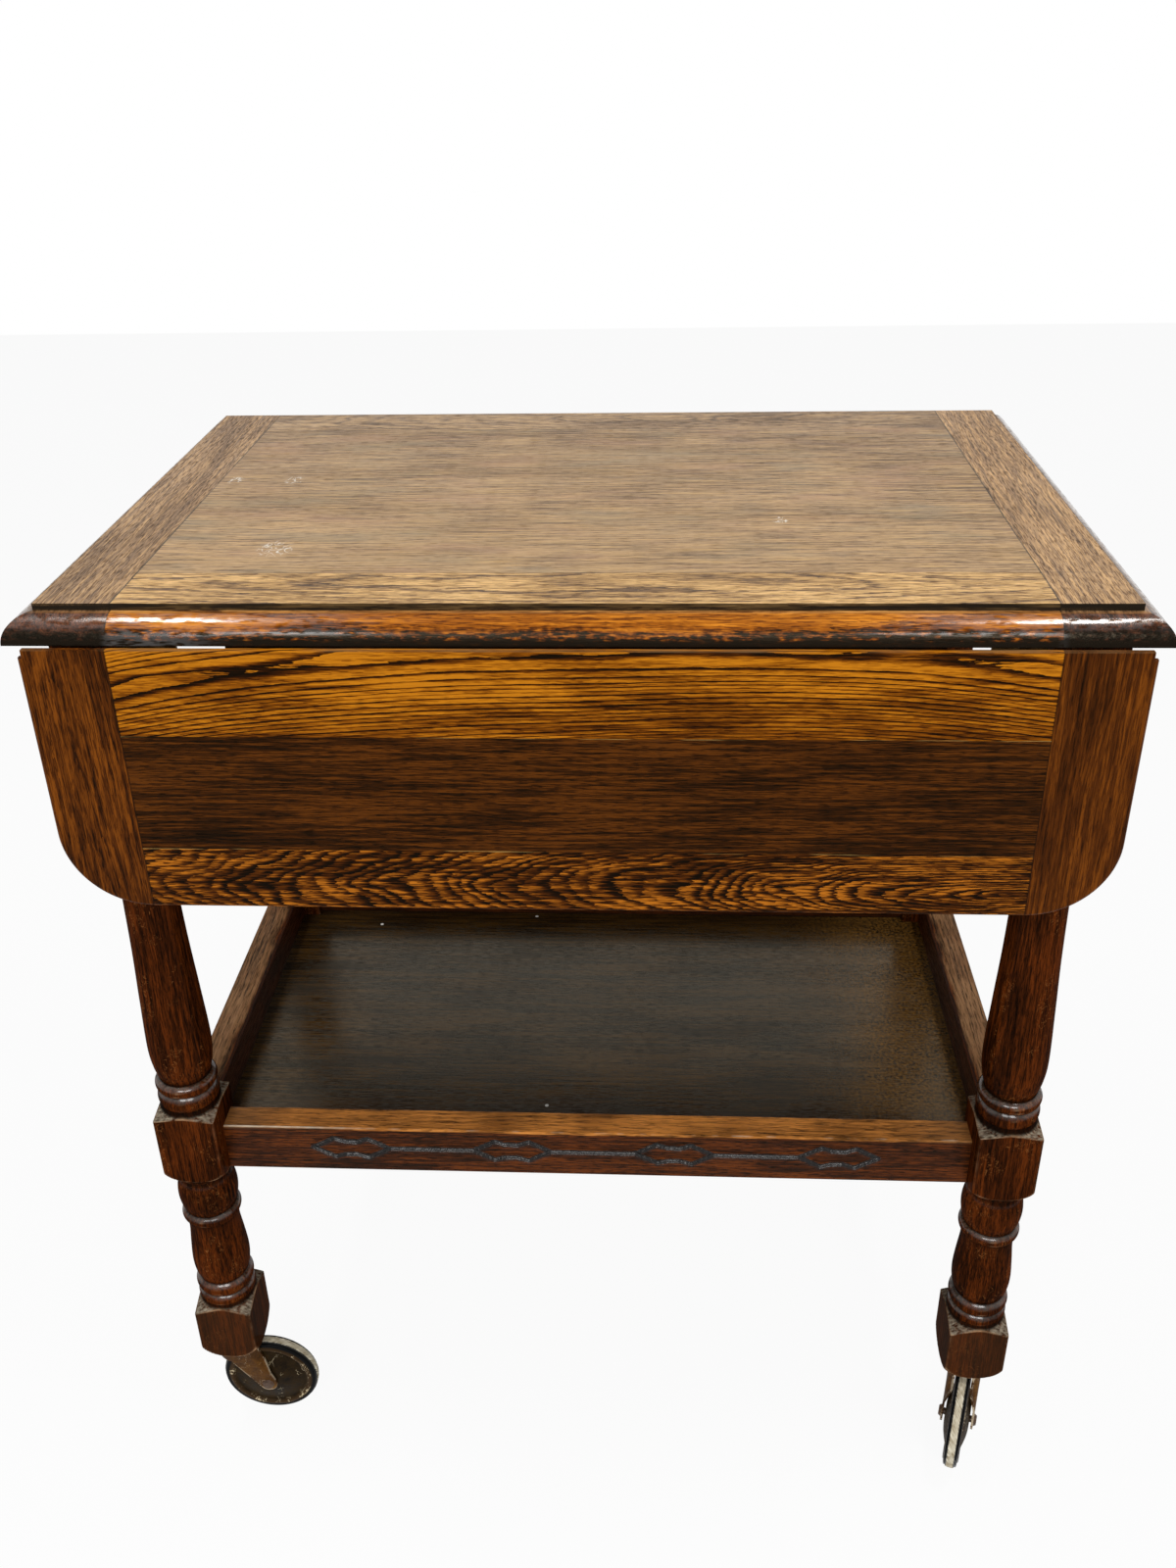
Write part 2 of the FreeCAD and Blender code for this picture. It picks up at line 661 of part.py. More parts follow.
def bar(x, start, end):
    """A flat stay arm with round ends."""
    radius = stay_bar_width / 2
    run = V(0, end[0] - start[0], end[1] - start[1])
    side = V(0, -run.z, run.y).normalize() * radius
    a = at_hinge(x, start)
    b = at_hinge(x, end)
    thick = V(stay_bar_thickness, 0, 0)
    middle = plate([a - side, a + side, b + side, b - side], thick)
    return fused([middle, rod(radius, a, a + thick), rod(radius, b, b + thick)])


frame_pivot, elbow, leaf_pivot, leaf_pivot_raised, lower_length, upper_length = stay_points()
pivot_eye = stay_rivet_radius + running
lower_arm = bar(lower_arm_x, frame_pivot, elbow)
lower_arm = cut(lower_arm, [rod(pivot_eye, at_hinge(lower_arm_x - 1, frame_pivot),
                                at_hinge(lower_arm_x + stay_bar_thickness + 1, frame_pivot))])
elbow_rivet = rod(stay_rivet_radius, at_hinge(lower_arm_x, elbow),
                  at_hinge(upper_arm_x + stay_bar_thickness + 1, elbow))
lower_arm = fused([lower_arm, elbow_rivet])
upper_arm = bar(upper_arm_x, elbow, leaf_pivot)
upper_arm = cut(upper_arm, [rod(pivot_eye, at_hinge(upper_arm_x - 1, elbow),
                                at_hinge(upper_arm_x + stay_bar_thickness + 1, elbow))])
rivet_head = rod(stay_rivet_radius * 1.6, at_hinge(upper_arm_x - 0.25, leaf_pivot),
                 at_hinge(upper_arm_x, leaf_pivot))
upper_arm = fused([upper_arm, rivet_head])

plate_low = hinge_z - stay_pivot_down - stay_bar_width / 2
pivot_y = -hinge_y + stay_pivot_in
frame_plate = box(cross_half, cross_half + stay_bar_thickness, pivot_y - stay_bar_width / 2,
                  pivot_y + stay_plate_length, plate_low, plate_low + stay_bar_width)
frame_rivet = rod(stay_rivet_radius, at_hinge(cross_half, frame_pivot),
                  at_hinge(lower_arm_x + stay_bar_thickness + 1, frame_pivot))
stay_frame_screws = [V(cross_half + stay_bar_thickness, pivot_y + along, hinge_z - stay_pivot_down)
                     for along in (stay_plate_length * share for share in stay_screw_shares)]
into_cross = V(-1, 0, 0)
frame_plate = cut(fused([frame_plate, frame_rivet]),
                  [screw_hole(place, into_cross) for place in stay_frame_screws])
lug_middle = hinge_z - stay_leaf_along
lug_top = stay_leaf_off + stay_bar_width / 2
leaf_plate = fused([
    box(lug_x, lug_x + stay_plate_length, -hinge_y, -hinge_y + stay_bar_thickness,
        lug_middle - stay_bar_width / 2, lug_middle + stay_bar_width / 2),
    box(lug_x, lug_x + stay_bar_thickness, -hinge_y, -hinge_y + lug_top,
        lug_middle - stay_bar_width / 2, lug_middle + stay_bar_width / 2)])
leaf_plate = cut(leaf_plate, [screw_hole(place, into_leaf) for place in stay_leaf_screws()])
cross_holes = [screw_hole(place, into_cross) for place in stay_frame_screws]
cross = cut(cross, cross_holes + [other_side(hole) for hole in cross_holes])
save("cross_bearer", cross)
save("stay_frame_plates", [frame_plate, other_side(frame_plate)])
save("front_stay_lower_arm", lower_arm)
save("front_stay_upper_arm", upper_arm)
save("front_stay_leaf_plate", leaf_plate)
save("back_stay_lower_arm", other_side(lower_arm))
save("back_stay_upper_arm", other_side(upper_arm))
save("back_stay_leaf_plate", other_side(leaf_plate))

frame_screws = [screw(place, Z_AXIS) for place in hinge_top_screws() + bearer_screws()]
frame_screws += [screw(place, into_cross) for place in stay_frame_screws]
leaf_screws = [screw(place, into_leaf) for place in hinge_leaf_screws() + stay_leaf_screws()]
save("frame_screws", frame_screws + [other_side(piece) for piece in frame_screws])
save("front_leaf_screws", leaf_screws)
save("back_leaf_screws", [other_side(piece) for piece in leaf_screws])


# ---------------------------------------------------------------- shelf

def carved_chain():
    """Tools that cut the chain of lozenges into the front of the shelf rail."""
    front = -side_rail_outer
    bottom = front + chain_groove_depth
    radius = chain_groove_width / 2

    def groove(a, b):
        start = V(a[0], front - 1, a[1])
        end = V(b[0], front - 1, b[1])
        side = V(-(end.z - start.z), 0, end.x - start.x).normalize() * radius
        deep = V(0, bottom - front + 1, 0)
        strip = plate([start - side, start + side, end + side, end - side], deep)
        return [strip, rod(radius, start, start + deep), rod(radius, end, end + deep)]

    tools = []
    first = -lozenge_pitch * (lozenge_count - 1) / 2
    for number in range(lozenge_count):
        middle = first + number * lozenge_pitch
        outline = [(-lozenge_half_length, 0), (-lozenge_peak_offset, lozenge_peak_height),
                   (0, lozenge_notch_height), (lozenge_peak_offset, lozenge_peak_height),
                   (lozenge_half_length, 0), (lozenge_peak_offset, -lozenge_peak_height),
                   (0, -lozenge_notch_height), (-lozenge_peak_offset, -lozenge_peak_height)]
        points = [(middle + x, chain_height + z) for x, z in outline]
        for a, b in zip(points, points[1:] + points[:1]):
            tools += groove(a, b)
        if number:
            tools += groove((middle - lozenge_pitch + lozenge_half_length, chain_height), points[0])
    return tools


def shelf_side_rail():
    """The front rail of the shelf, without its carving."""
    rail = box(-leg_inner_x, leg_inner_x, -side_rail_outer, -side_rail_outer + shelf_side_rail_thickness,
               shelf_rail_bottom, shelf_rail_top)
    rail = eased(rail, lambda middle: abs(middle.x) < 1, edge_ease)
    rail = tenoned(rail, "x", leg_inner_x, shelf_tenon, -shelf_side_line)
    return cut(rail, [panel_groove])


inner_y = side_rail_outer - shelf_side_rail_thickness
inner_x = end_rail_outer - shelf_end_rail_thickness
panel_low = shelf_panel_top - shelf_panel_thickness
panel_groove = box(-inner_x - groove_depth, inner_x + groove_depth,
                   -inner_y - groove_depth, inner_y + groove_depth, panel_low, shelf_panel_top)
reach_x = inner_x + groove_depth - panel_play
reach_y = inner_y + groove_depth - panel_play
shelf_panel = box(-reach_x, reach_x, -reach_y, reach_y, panel_low, shelf_panel_top)
leg_rooms = []
for side_x in (-1, 1):
    for side_y in (-1, 1):
        xs = sorted((side_x * (leg_inner_x - side_play), side_x * (reach_x + 1)))
        ys = sorted((side_y * (leg_inner_y - side_play), side_y * (reach_y + 1)))
        leg_rooms.append(box(*xs, *ys, panel_low - 1, shelf_panel_top + 1))
shelf_panel = cut(shelf_panel, leg_rooms)

side_rail = shelf_side_rail()
save("shelf_front_rail", cut(side_rail, carved_chain()))
save("shelf_back_rail", other_side(side_rail))

end_rail = box(inner_x, end_rail_outer, -leg_inner_y, leg_inner_y, shelf_rail_bottom, shelf_rail_top)
bevel = plate([V(inner_x - 1, -leg_inner_y, shelf_rail_top + 1),
               V(inner_x + end_rail_bevel_width, -leg_inner_y, shelf_rail_top + 1),
               V(inner_x + end_rail_bevel_width, -leg_inner_y, shelf_rail_top),
               V(inner_x - 1, -leg_inner_y, shelf_rail_top - end_rail_bevel_drop)],
              V(0, 2 * leg_inner_y, 0))
end_rail = tenoned(end_rail, "y", leg_inner_y, shelf_tenon, shelf_end_line)
end_rail = cut(end_rail, [bevel, panel_groove])
save("shelf_right_rail", end_rail)
save("shelf_left_rail", other_side(end_rail))
save("shelf_panel", shelf_panel)


# ---------------------------------------------------------------- castors

def revolved(points, start, axis):
    """A turned metal or rubber part: outline points are (radius, distance along the axis)."""
    outline = Part.makePolygon([V(r, 0, d) for r, d in points + points[:1]])
    solid = Part.Face(outline).revolve(ORIGIN, Z_AXIS, 360)
    solid.rotate(ORIGIN, X_AXIS, -90 if axis == "y" else 0)
    solid.translate(start)
    return solid


flange_radius = wheel_radius - flange_gap
tyre_inner = wheel_radius - tyre_height
flange_in = tyre_width / 2 + seat
flange_out = flange_in + flange_thickness
wheel_centre = V(castor_trail, 0, wheel_radius)
plate_bottom = foot_bottom - socket_plate_thickness
crown_top = plate_bottom - face_play
crown_bottom = crown_top - crown_thickness


def wheel_disc():
    """Dished metal wheel with a hub, a rim bead and two flanges that hold the tyre."""
    half = [(axle_radius + running, hub_half_width), (hub_radius - 2, hub_half_width),
            (hub_radius, hub_half_width - 1.5), (hub_radius + 3, 5.2), (tyre_inner - 9, 3.0),
            (tyre_inner - 4, 3.4), (tyre_inner - 2.2, flange_out + 0.9),
            (tyre_inner - 0.6, flange_out + 0.9),
            (tyre_inner, flange_out), (flange_radius, flange_out), (flange_radius, flange_in),
            (tyre_inner - seat, flange_in)]
    other_half = [(radius, -distance) for radius, distance in reversed(half)]
    return revolved(half + other_half, wheel_centre, "y")


def tyre():
    """Rubber ring with a softly rounded tread."""
    half = tyre_width / 2
    outline = [(tyre_inner, -half), (wheel_radius - 1.2, -half), (wheel_radius - 0.3, -half + 1.2),
               (wheel_radius, -half + 2.4), (wheel_radius, half - 2.4), (wheel_radius - 0.3, half - 1.2),
               (wheel_radius - 1.2, half), (tyre_inner, half)]
    return revolved(outline, wheel_centre, "y")


def fork():
    """Stamped fork: a round crown on a stem, and two arms that narrow towards the axle."""
    crown = rod(crown_radius, V(0, 0, crown_bottom), V(0, 0, crown_top))
    stem_top = plate_bottom + stem_length
    stem = rod(stem_radius, V(0, 0, crown_bottom), V(0, 0, stem_top))
    parts = [crown, stem]
    eyes = []
    for side in (-1, 1):
        y_in = side * fork_inner_half
        thick = V(0, side * fork_thickness, 0)
        eye = V(castor_trail, y_in, wheel_radius)
        down = V(castor_trail, 0, wheel_radius) - V(0, 0, crown_bottom)
        across = V(-down.z, 0, down.x).normalize() * fork_end_radius
        top_corner = V(fork_top_half_length, y_in, crown_top)
        parts.append(plate([V(-fork_top_half_length, y_in, crown_top), top_corner,
                            eye + across, eye - across], thick))
        parts.append(rod(fork_end_radius, eye, eye + thick))
        parts.append(box(-fork_top_half_length, fork_top_half_length, *sorted((0, y_in)),
                         crown_bottom, crown_top))
        eyes.append(rod(axle_radius + seat, eye - thick, eye + thick * 2))
    return cut(fused(parts), eyes)


def axle():
    """Riveted axle with a head at each end."""
    outer = fork_inner_half + fork_thickness
    tip = outer + axle_head_length
    half = [(axle_radius, outer + face_play), (axle_head_radius, outer + face_play),
            (axle_head_radius * 0.75, tip), (0, tip)]
    other_half = [(radius, -distance) for radius, distance in reversed(half)]
    return revolved(half + other_half, wheel_centre, "y")


def socket():
    """Plate under the foot with a sleeve that holds the fork's stem."""
    sleeve_top = foot_bottom + stem_length + 1.5
    flat = rod(crown_radius, V(0, 0, plate_bottom), V(0, 0, foot_bottom))
    sleeve = rod(stem_radius + socket_wall, V(0, 0, plate_bottom), V(0, 0, sleeve_top))
    bore_top = plate_bottom + stem_length + face_play
    bore = rod(stem_radius + running, V(0, 0, plate_bottom - 1), V(0, 0, bore_top))
    return cut(fused([flat, sleeve]), [bore])


castor_places = {"front_left": (-leg_x, -leg_y, front_left_swivel),
                 "front_right": (leg_x, -leg_y, front_right_swivel),
                 "back_right": (leg_x, leg_y, front_left_swivel + 180),
                 "back_left": (-leg_x, leg_y, front_right_swivel - 180)}
castor_parts = {"fork": fork(), "axle": axle(), "wheel": wheel_disc(), "tyre": tyre()}
sockets = []
for name, (x, y, swivel) in castor_places.items():
    for kind, shape in castor_parts.items():
        piece = shape.copy()
        piece.rotate(ORIGIN, Z_AXIS, swivel)
        piece.translate(V(x, y, 0))
        save(name + "_castor_" + kind, piece)
    holder = socket()
    holder.translate(V(x, y, 0))
    sockets.append(holder)
save("castor_sockets", sockets)

print("hinge line y, z", -hinge_y, hinge_z)
print("stay frame pivot", at_hinge(0, frame_pivot), "elbow", at_hinge(0, elbow))
print("stay leaf pivot", at_hinge(0, leaf_pivot), "raised", at_hinge(0, leaf_pivot_raised))
print("stay arms", lower_length, upper_length)
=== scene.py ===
# %% [markdown]
# # A drop leaf tea trolley in dark oak
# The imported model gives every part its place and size. This lesson dresses it: oak boards whose grain
# is worked out from growth rings, turned legs, a carved shelf rail and brown castors.
# Lengths are written in millimetres and scaled to Blender's metres where a mesh is made.

# %% Load the frame
import math

import bmesh
import bpy
import numpy as np
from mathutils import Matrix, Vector


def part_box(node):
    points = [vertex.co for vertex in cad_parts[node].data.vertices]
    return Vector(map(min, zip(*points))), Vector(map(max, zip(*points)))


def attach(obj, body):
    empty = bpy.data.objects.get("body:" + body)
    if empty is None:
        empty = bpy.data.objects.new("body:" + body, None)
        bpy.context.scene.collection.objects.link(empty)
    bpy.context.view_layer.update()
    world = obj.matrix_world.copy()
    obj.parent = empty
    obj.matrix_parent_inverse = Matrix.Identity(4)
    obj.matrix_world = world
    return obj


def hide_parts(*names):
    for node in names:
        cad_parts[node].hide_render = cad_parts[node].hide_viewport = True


MM = 0.001
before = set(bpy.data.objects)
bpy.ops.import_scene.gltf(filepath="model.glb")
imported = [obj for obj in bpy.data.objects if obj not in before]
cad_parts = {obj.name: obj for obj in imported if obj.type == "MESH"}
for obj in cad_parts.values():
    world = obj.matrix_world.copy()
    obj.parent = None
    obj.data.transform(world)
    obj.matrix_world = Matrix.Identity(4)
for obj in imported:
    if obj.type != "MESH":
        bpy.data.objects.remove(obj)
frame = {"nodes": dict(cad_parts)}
bpy.context.view_layer.update()
nodes = frame["nodes"]

# %% [markdown]
# ## The view
# The viewer stands in front of the trolley, a little to its right, and looks down on the top.
# A short lens this close makes the legs lean together, so the lens and the place of the camera both matter.

# %% Camera
camera = bpy.data.objects.new("camera", bpy.data.cameras.new("camera"))
camera.location = (0.04466, -0.89667, 1.00557)
camera.rotation_euler = [math.radians(angle) for angle in (61.9856, 1.1732, 2.8613)]
camera.data.lens = 32.011
camera.data.shift_x = 0.0030
camera.data.shift_y = -0.0281
camera.data.clip_start = 0.01
bpy.context.scene.collection.objects.link(camera)
bpy.context.scene.camera = camera
bpy.context.scene.view_settings.view_transform = "Standard"
print("camera at", [round(c, 3) for c in camera.location])

# %% [markdown]
# ## Values that nodes work out
# A finish is a sum of masks, and a mask is a sum of simple numbers. Written as Python expressions they are
# short: this class wraps one socket, and each operator adds the Math node that it stands for.


# %% A number worked out by nodes
def operator(operation, swapped=False):
    """A method that adds the Math node of an operator; swapped is for a plain number on its left."""
    def method(value, other):
        return value.nodes.math(operation, *((other, value) if swapped else (value, other)))
    return method


class Value:
    """A socket's number at each point of a surface. Operators on it add Math nodes."""

    __add__, __radd__ = operator("ADD"), operator("ADD", True)
    __sub__, __rsub__ = operator("SUBTRACT"), operator("SUBTRACT", True)
    __mul__, __truediv__ = operator("MULTIPLY"), operator("DIVIDE")

    def __init__(self, nodes, socket):
        self.nodes = nodes
        self.socket = socket

    def __abs__(self):
        return self.nodes.math("ABSOLUTE", self)


# %% [markdown]
# ## A tree of nodes
# One method adds any node: its settings first, then what goes into its sockets. The others are short names
# for nodes that every finish needs, such as noise, soft steps and mixed colours.


# %% Node trees
class Nodes:
    """Adds nodes to a material's or world's tree, which starts empty."""

    def __init__(self, tree, seed=0):
        self.tree = tree
        self.tree.nodes.clear()
        self.seed = seed

    def node(self, kind, settings=None, inputs=None, output=0):
        """Adds a node of this type and returns one of its outputs."""
        made = self.tree.nodes.new("ShaderNode" + kind)
        for name, setting in (settings or {}).items():
            setattr(made, name, setting)
        for name, value in (inputs or {}).items():
            if isinstance(value, Value):
                self.tree.links.new(value.socket, made.inputs[name])
            else:
                made.inputs[name].default_value = value
        return Value(self, made.outputs[output])

    def ramp(self, value, stops):
        """The colour at this value on a ramp of (place, colour) stops."""
        colour = self.node("ValToRGB", {}, {0: value})
        elements = colour.socket.node.color_ramp.elements
        while len(elements) < len(stops):
            elements.new(1.0)
        for element, (place, stop) in zip(elements, stops):
            element.position = place
            element.color = stop
        return colour

    def other(self, value, output):
        """Another output of the node that a value comes from."""
        return Value(self, value.socket.node.outputs[output])

    def end(self, shader, kind="Material"):
        output = self.tree.nodes.new("ShaderNodeOutput" + kind)
        self.tree.links.new(shader.socket, output.inputs["Surface"])

    def math(self, operation, *values):
        return self.node("Math", {"operation": operation}, dict(enumerate(values)))

    def clamp(self, value):
        return self.node("Clamp", {}, {0: value})

    def step(self, value, low, high):
        """0 below low and 1 above high, with a soft change between; it falls if low is above high."""
        return self.node("MapRange", {"interpolation_type": "SMOOTHSTEP"},
                         {"Value": value, "From Min": low, "From Max": high})

    def near(self, value, place, reach):
        """1 where the value is at this place, falling to 0 within reach."""
        return self.step(abs(value - place), reach, 0.0)

    def noise(self, x, y, z, detail, seed, distortion=0.0):
        """Smooth noise from about -0.5 to 0.5 with lumps about one unit across."""
        shifted = x + (self.seed * 3.71 + seed * 5.13 + 0.37)
        where = self.node("CombineXYZ", {}, {0: shifted, 1: y, 2: z})
        return self.node("TexNoise", {}, {"Vector": where, "Scale": 1.0, "Detail": detail,
                                          "Distortion": distortion}) * 2.0 - 1.0

    def mix(self, factor, first, second):
        """Colour that goes from first to second."""
        return self.node("Mix", {"data_type": "RGBA"}, {0: factor, 6: first, 7: second}, 2)

    def rays_that_see_the_background(self):
        """1 for what the camera, a glossy surface or glass sees."""
        camera_ray = self.node("LightPath", output="Is Camera Ray")
        others = self.other(camera_ray, "Is Glossy Ray") + self.other(camera_ray, "Is Transmission Ray")
        return self.clamp(camera_ray + others)


# %% [markdown]
# ## A finish
# A finish is a material while it is made. It knows each point's place on the trolley in millimetres, from
# Object coordinates, so that grain and wear sit where a maker would find them on the real piece.


# %% Finishes and colours
def paint(red, green, blue):
    """Blender's linear colour for a paint card's red, green and blue from 0 to 255."""
    card = np.array([red, green, blue]) / 255
    linear = np.where(card <= 0.04045, card / 12.92, ((card + 0.055) / 1.055) ** 2.4)
    return (*linear.tolist(), 1.0)


class Finish(Nodes):
    """A material. x, y and z are each point's place in millimetres."""

    def __init__(self, name, seed=0):
        self.material = bpy.data.materials.new(name)
        self.material.use_nodes = True
        super().__init__(self.material.node_tree, seed)
        place = self.node("TexCoord", output="Object")
        millimetres = self.node("VectorMath", {"operation": "SCALE"}, {0: place, "Scale": 1 / MM})
        self.x = self.node("SeparateXYZ", {}, {0: millimetres})
        self.y, self.z = self.other(self.x, "Y"), self.other(self.x, "Z")

    def lumps(self, sizes, detail, seed, distortion=0.0):
        """Noise whose lumps have these sizes along x, y and z, in millimetres."""
        x, y, z = (place / size for place, size in zip((self.x, self.y, self.z), sizes))
        return self.noise(x, y, z, detail, seed, distortion)

    def attribute(self, name):
        """A number that the mesh carries at each point."""
        return self.node("Attribute", {"attribute_name": name}, output="Fac")

    def tint(self, mask, colour):
        """Lays a colour over the finish's own where the mask is 1."""
        self.colour = self.mix(self.clamp(mask), self.colour, colour)

    def shader(self, bump, bump_height, **inputs):
        """A Principled shader; bump_height is in millimetres."""
        sockets = {name.replace("_", " "): value for name, value in inputs.items()}
        depth = {"Height": bump, "Distance": bump_height * MM, "Strength": 1.0}
        sockets["Normal"] = self.node("Bump", {}, depth)
        return self.node("BsdfPrincipled", {}, sockets)

    def surface(self, *bump, **inputs):
        """Ends the material in that shader, with the finish's colour."""
        self.end(self.shader(*bump, Base_Color=self.colour, **inputs))
        return self.material


def dress(model, material):
    """Gives every slot of a model piece this material."""
    for material_slot in model.material_slots:
        material_slot.material = material


# %% [markdown]
# ## The studio
# A pale floor that keeps the soft shadow, a pale background, a large lamp in front for the leaf, and two
# smaller ones overhead, left and right, which draw the broken lights along the edge of the top.
# The background is pale only for rays that see it, so it adds no light of its own to the oak.

# %% Floor and background
world = bpy.data.worlds.new("studio")
world.use_nodes = True
bpy.context.scene.world = world
sky = Nodes(world.node_tree)
ambient = sky.node("Background", {}, {"Color": (0.97, 0.98, 1.0, 1.0), "Strength": 0.26})
seen = sky.node("Background", {}, {"Color": (1.0, 1.0, 1.0, 1.0), "Strength": 1.0})
sky.end(sky.node("MixShader", {}, {0: sky.rays_that_see_the_background(), 1: ambient, 2: seen}), "World")

floor_mesh = bpy.data.meshes.new("floor")
floor_mesh.from_pydata([(-4, -4, 0), (4, -4, 0), (4, 4, 0), (-4, 4, 0)], [], [(0, 1, 2, 3)])
floor = bpy.data.objects.new("floor", floor_mesh)
bpy.context.scene.collection.objects.link(floor)
floor_finish = Finish("floor")
cloth = floor_finish.node("BsdfDiffuse", {}, {"Color": (0.86, 0.86, 0.86, 1.0)})
glow = floor_finish.node("Emission", {}, {"Color": (1.0, 1.0, 1.0, 1.0), "Strength": 1.0})
glow_share = floor_finish.rays_that_see_the_background() * 0.93
floor_finish.end(floor_finish.node("MixShader", {}, {0: glow_share, 1: cloth, 2: glow}))
floor.data.materials.append(floor_finish.material)
print("floor and background")


# %% Lamps
def softbox(name, place, aim, width, height, watts):
    """A rectangular lamp at place, turned towards aim."""
    lamp = bpy.data.lights.new(name, "AREA")
    lamp.shape = "RECTANGLE"
    lamp.size = width
    lamp.size_y = height
    lamp.energy = watts
    holder = bpy.data.objects.new(name, lamp)
    holder.location = place
    holder.rotation_euler = (Vector(aim) - Vector(place)).to_track_quat("-Z", "Y").to_euler()
    bpy.context.scene.collection.objects.link(holder)


softbox("front left lamp", (-0.6, -2.6, 1.95), (0.0, 0.0, 0.45), 0.9, 0.8, 26)
softbox("front right lamp", (0.55, -2.6, 1.95), (0.0, 0.0, 0.45), 0.9, 0.8, 26)
softbox("left lamp", (-0.83, -0.15, 2.4), (0.0, -0.1, 0.7), 0.66, 0.13, 10.5)
softbox("right lamp", (0.76, -0.25, 2.35), (0.0, -0.1, 0.7), 0.6, 0.13, 10.5)
print("4 lamps")

# %% [markdown]
# ## Meshes from grids of points
# Every new piece is a surface over a grid: rows run one way, columns the other. A grid may close on itself,
# like a turned leg, and its ends may be capped. Solid sheets join an outer and an inner grid at their rims.


# %% Surfaces
def skin(rows, columns, wrap_rows=False, wrap_columns=False, first=0):
    """Quads between neighbours of a grid whose points are numbered row by row from first."""
    down = np.arange(rows if wrap_rows else rows - 1)[:, None]
    right = np.arange(columns if wrap_columns else columns - 1)[None, :]
    next_down = (down + 1) % rows
    next_right = (right + 1) % columns
    corners = [down * columns + right, down * columns + next_right,
               next_down * columns + next_right, next_down * columns + right]
    return (np.stack(corners, -1).reshape(-1, 4) + first).tolist()


def grid(x, y, z):
    """Points of a grid. A coordinate that stays the same along rows or columns is spread over them."""
    return np.stack(np.broadcast_arrays(x, y, z), -1)


def piece(name, body, slot, points, faces, material, crease=40, **numbers):
    """Makes a smooth mesh that rides on a body. Points are in millimetres; numbers are kept per point."""
    mesh = bpy.data.meshes.new(name)
    mesh.from_pydata((points.reshape(-1, 3) * MM).tolist(), [], faces)
    for label, values in numbers.items():
        kept = mesh.attributes.new(label, "FLOAT", "POINT")
        spread = np.broadcast_to(values, points.shape[:-1])
        kept.data.foreach_set("value", spread.astype(np.float32).reshape(-1))
    closed = bmesh.new()
    closed.from_mesh(mesh)
    if closed.calc_volume(signed=True) < 0:
        mesh.flip_normals()
    closed.free()
    mesh.shade_smooth()
    mesh.set_sharp_from_angle(angle=math.radians(crease))
    mesh.materials.append(material)
    made = bpy.data.objects.new(name, mesh)
    bpy.context.scene.collection.objects.link(made)
    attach(made, body)
    return made


def tube(points):
    """Faces of rows of points that each close on themselves, with a cap at both ends."""
    rows, columns = points.shape[:2]
    first_cap = list(range(columns))[::-1]
    last_cap = list(range((rows - 1) * columns, rows * columns))
    return skin(rows, columns, wrap_columns=True) + [first_cap, last_cap]


def shell(outer, inner):
    """Points and faces of a sheet with an outer and an inner grid of the same size, joined at the rims."""
    rows, columns = outer.shape[:2]
    count = rows * columns
    faces = skin(rows, columns) + [face[::-1] for face in skin(rows, columns, first=count)]
    numbers = np.arange(count).reshape(rows, columns)
    rim = np.concatenate([numbers[0, :], numbers[1:, -1], numbers[-1, -2::-1], numbers[-2:0:-1, 0]])
    after = np.roll(rim, -1)
    faces += np.stack([after, rim, rim + count, after + count], -1).tolist()
    return np.concatenate([outer.reshape(-1, 3), inner.reshape(-1, 3)]), faces


# %% [markdown]
# ## Curves for profiles
# A turner reads a leg as straight lines, arcs and flowing curves between a few measured diameters.
# Each curve takes the points that it passes and a count of steps, and leaves out its start, so that
# a profile can be drawn by hanging one curve on the end of another.


# %% Curves
def stretch(points, count):
    """Evenly spaced points of a straight line, without its start."""
    start, end = np.asarray(points, float)
    t = np.linspace(0, 1, count + 1)[1:, None]
    return start * (1 - t) + end * t


def arc(points, count):
    """The circle through three points, without its start. Its centre is found as a complex number."""
    a, b, c = (complex(*point) for point in points)
    ratio = (c - a) / (b - a)
    centre = (b - a) * (ratio - abs(ratio) ** 2) / (2j * ratio.imag) + a
    turn = np.angle((c - centre) / (a - centre))
    spokes = centre + (a - centre) * np.exp(1j * turn * np.linspace(0, 1, count + 1)[1:])
    return np.stack([spokes.real, spokes.imag], -1)


def flow(points, count):
    """A Catmull-Rom curve: each stretch leaves a point parallel to the line between its neighbours."""
    known = np.asarray(points, float)
    padded = np.concatenate([[2 * known[0] - known[1]], known, [2 * known[-1] - known[-2]]])
    before, start, end, after = (padded[i:len(padded) - 3 + i, None] for i in range(4))
    t = np.linspace(0, 1, count + 1)[1:][None, :, None]
    bend = (2 * before - 5 * start + 4 * end - after) * t ** 2
    twist = (3 * start - before - 3 * end + after) * t ** 3
    return (0.5 * (2 * start + (end - before) * t + bend + twist)).reshape(-1, 2)


def draw(start, *curves):
    """A profile from its start: each curve is named with the points it goes on to and its count of steps."""
    drawn = np.array([start], float)
    for curve, *passed, count in curves:
        drawn = np.concatenate([drawn, curve([drawn[-1], *passed], count)])
    return drawn


# %% [markdown]
# ## Oak
# A tree is a cone of yearly rings about its axis. A board is a flat cut through it, so the distance from
# the tree's axis, divided by the width of a ring, gives the grain on any face. Where the axis runs askew to
# the board the rings close into arches; far from the axis they are nearly straight. Each ring starts with a
# dark porous line, short dark pores lie along it, and stain gathers in both.


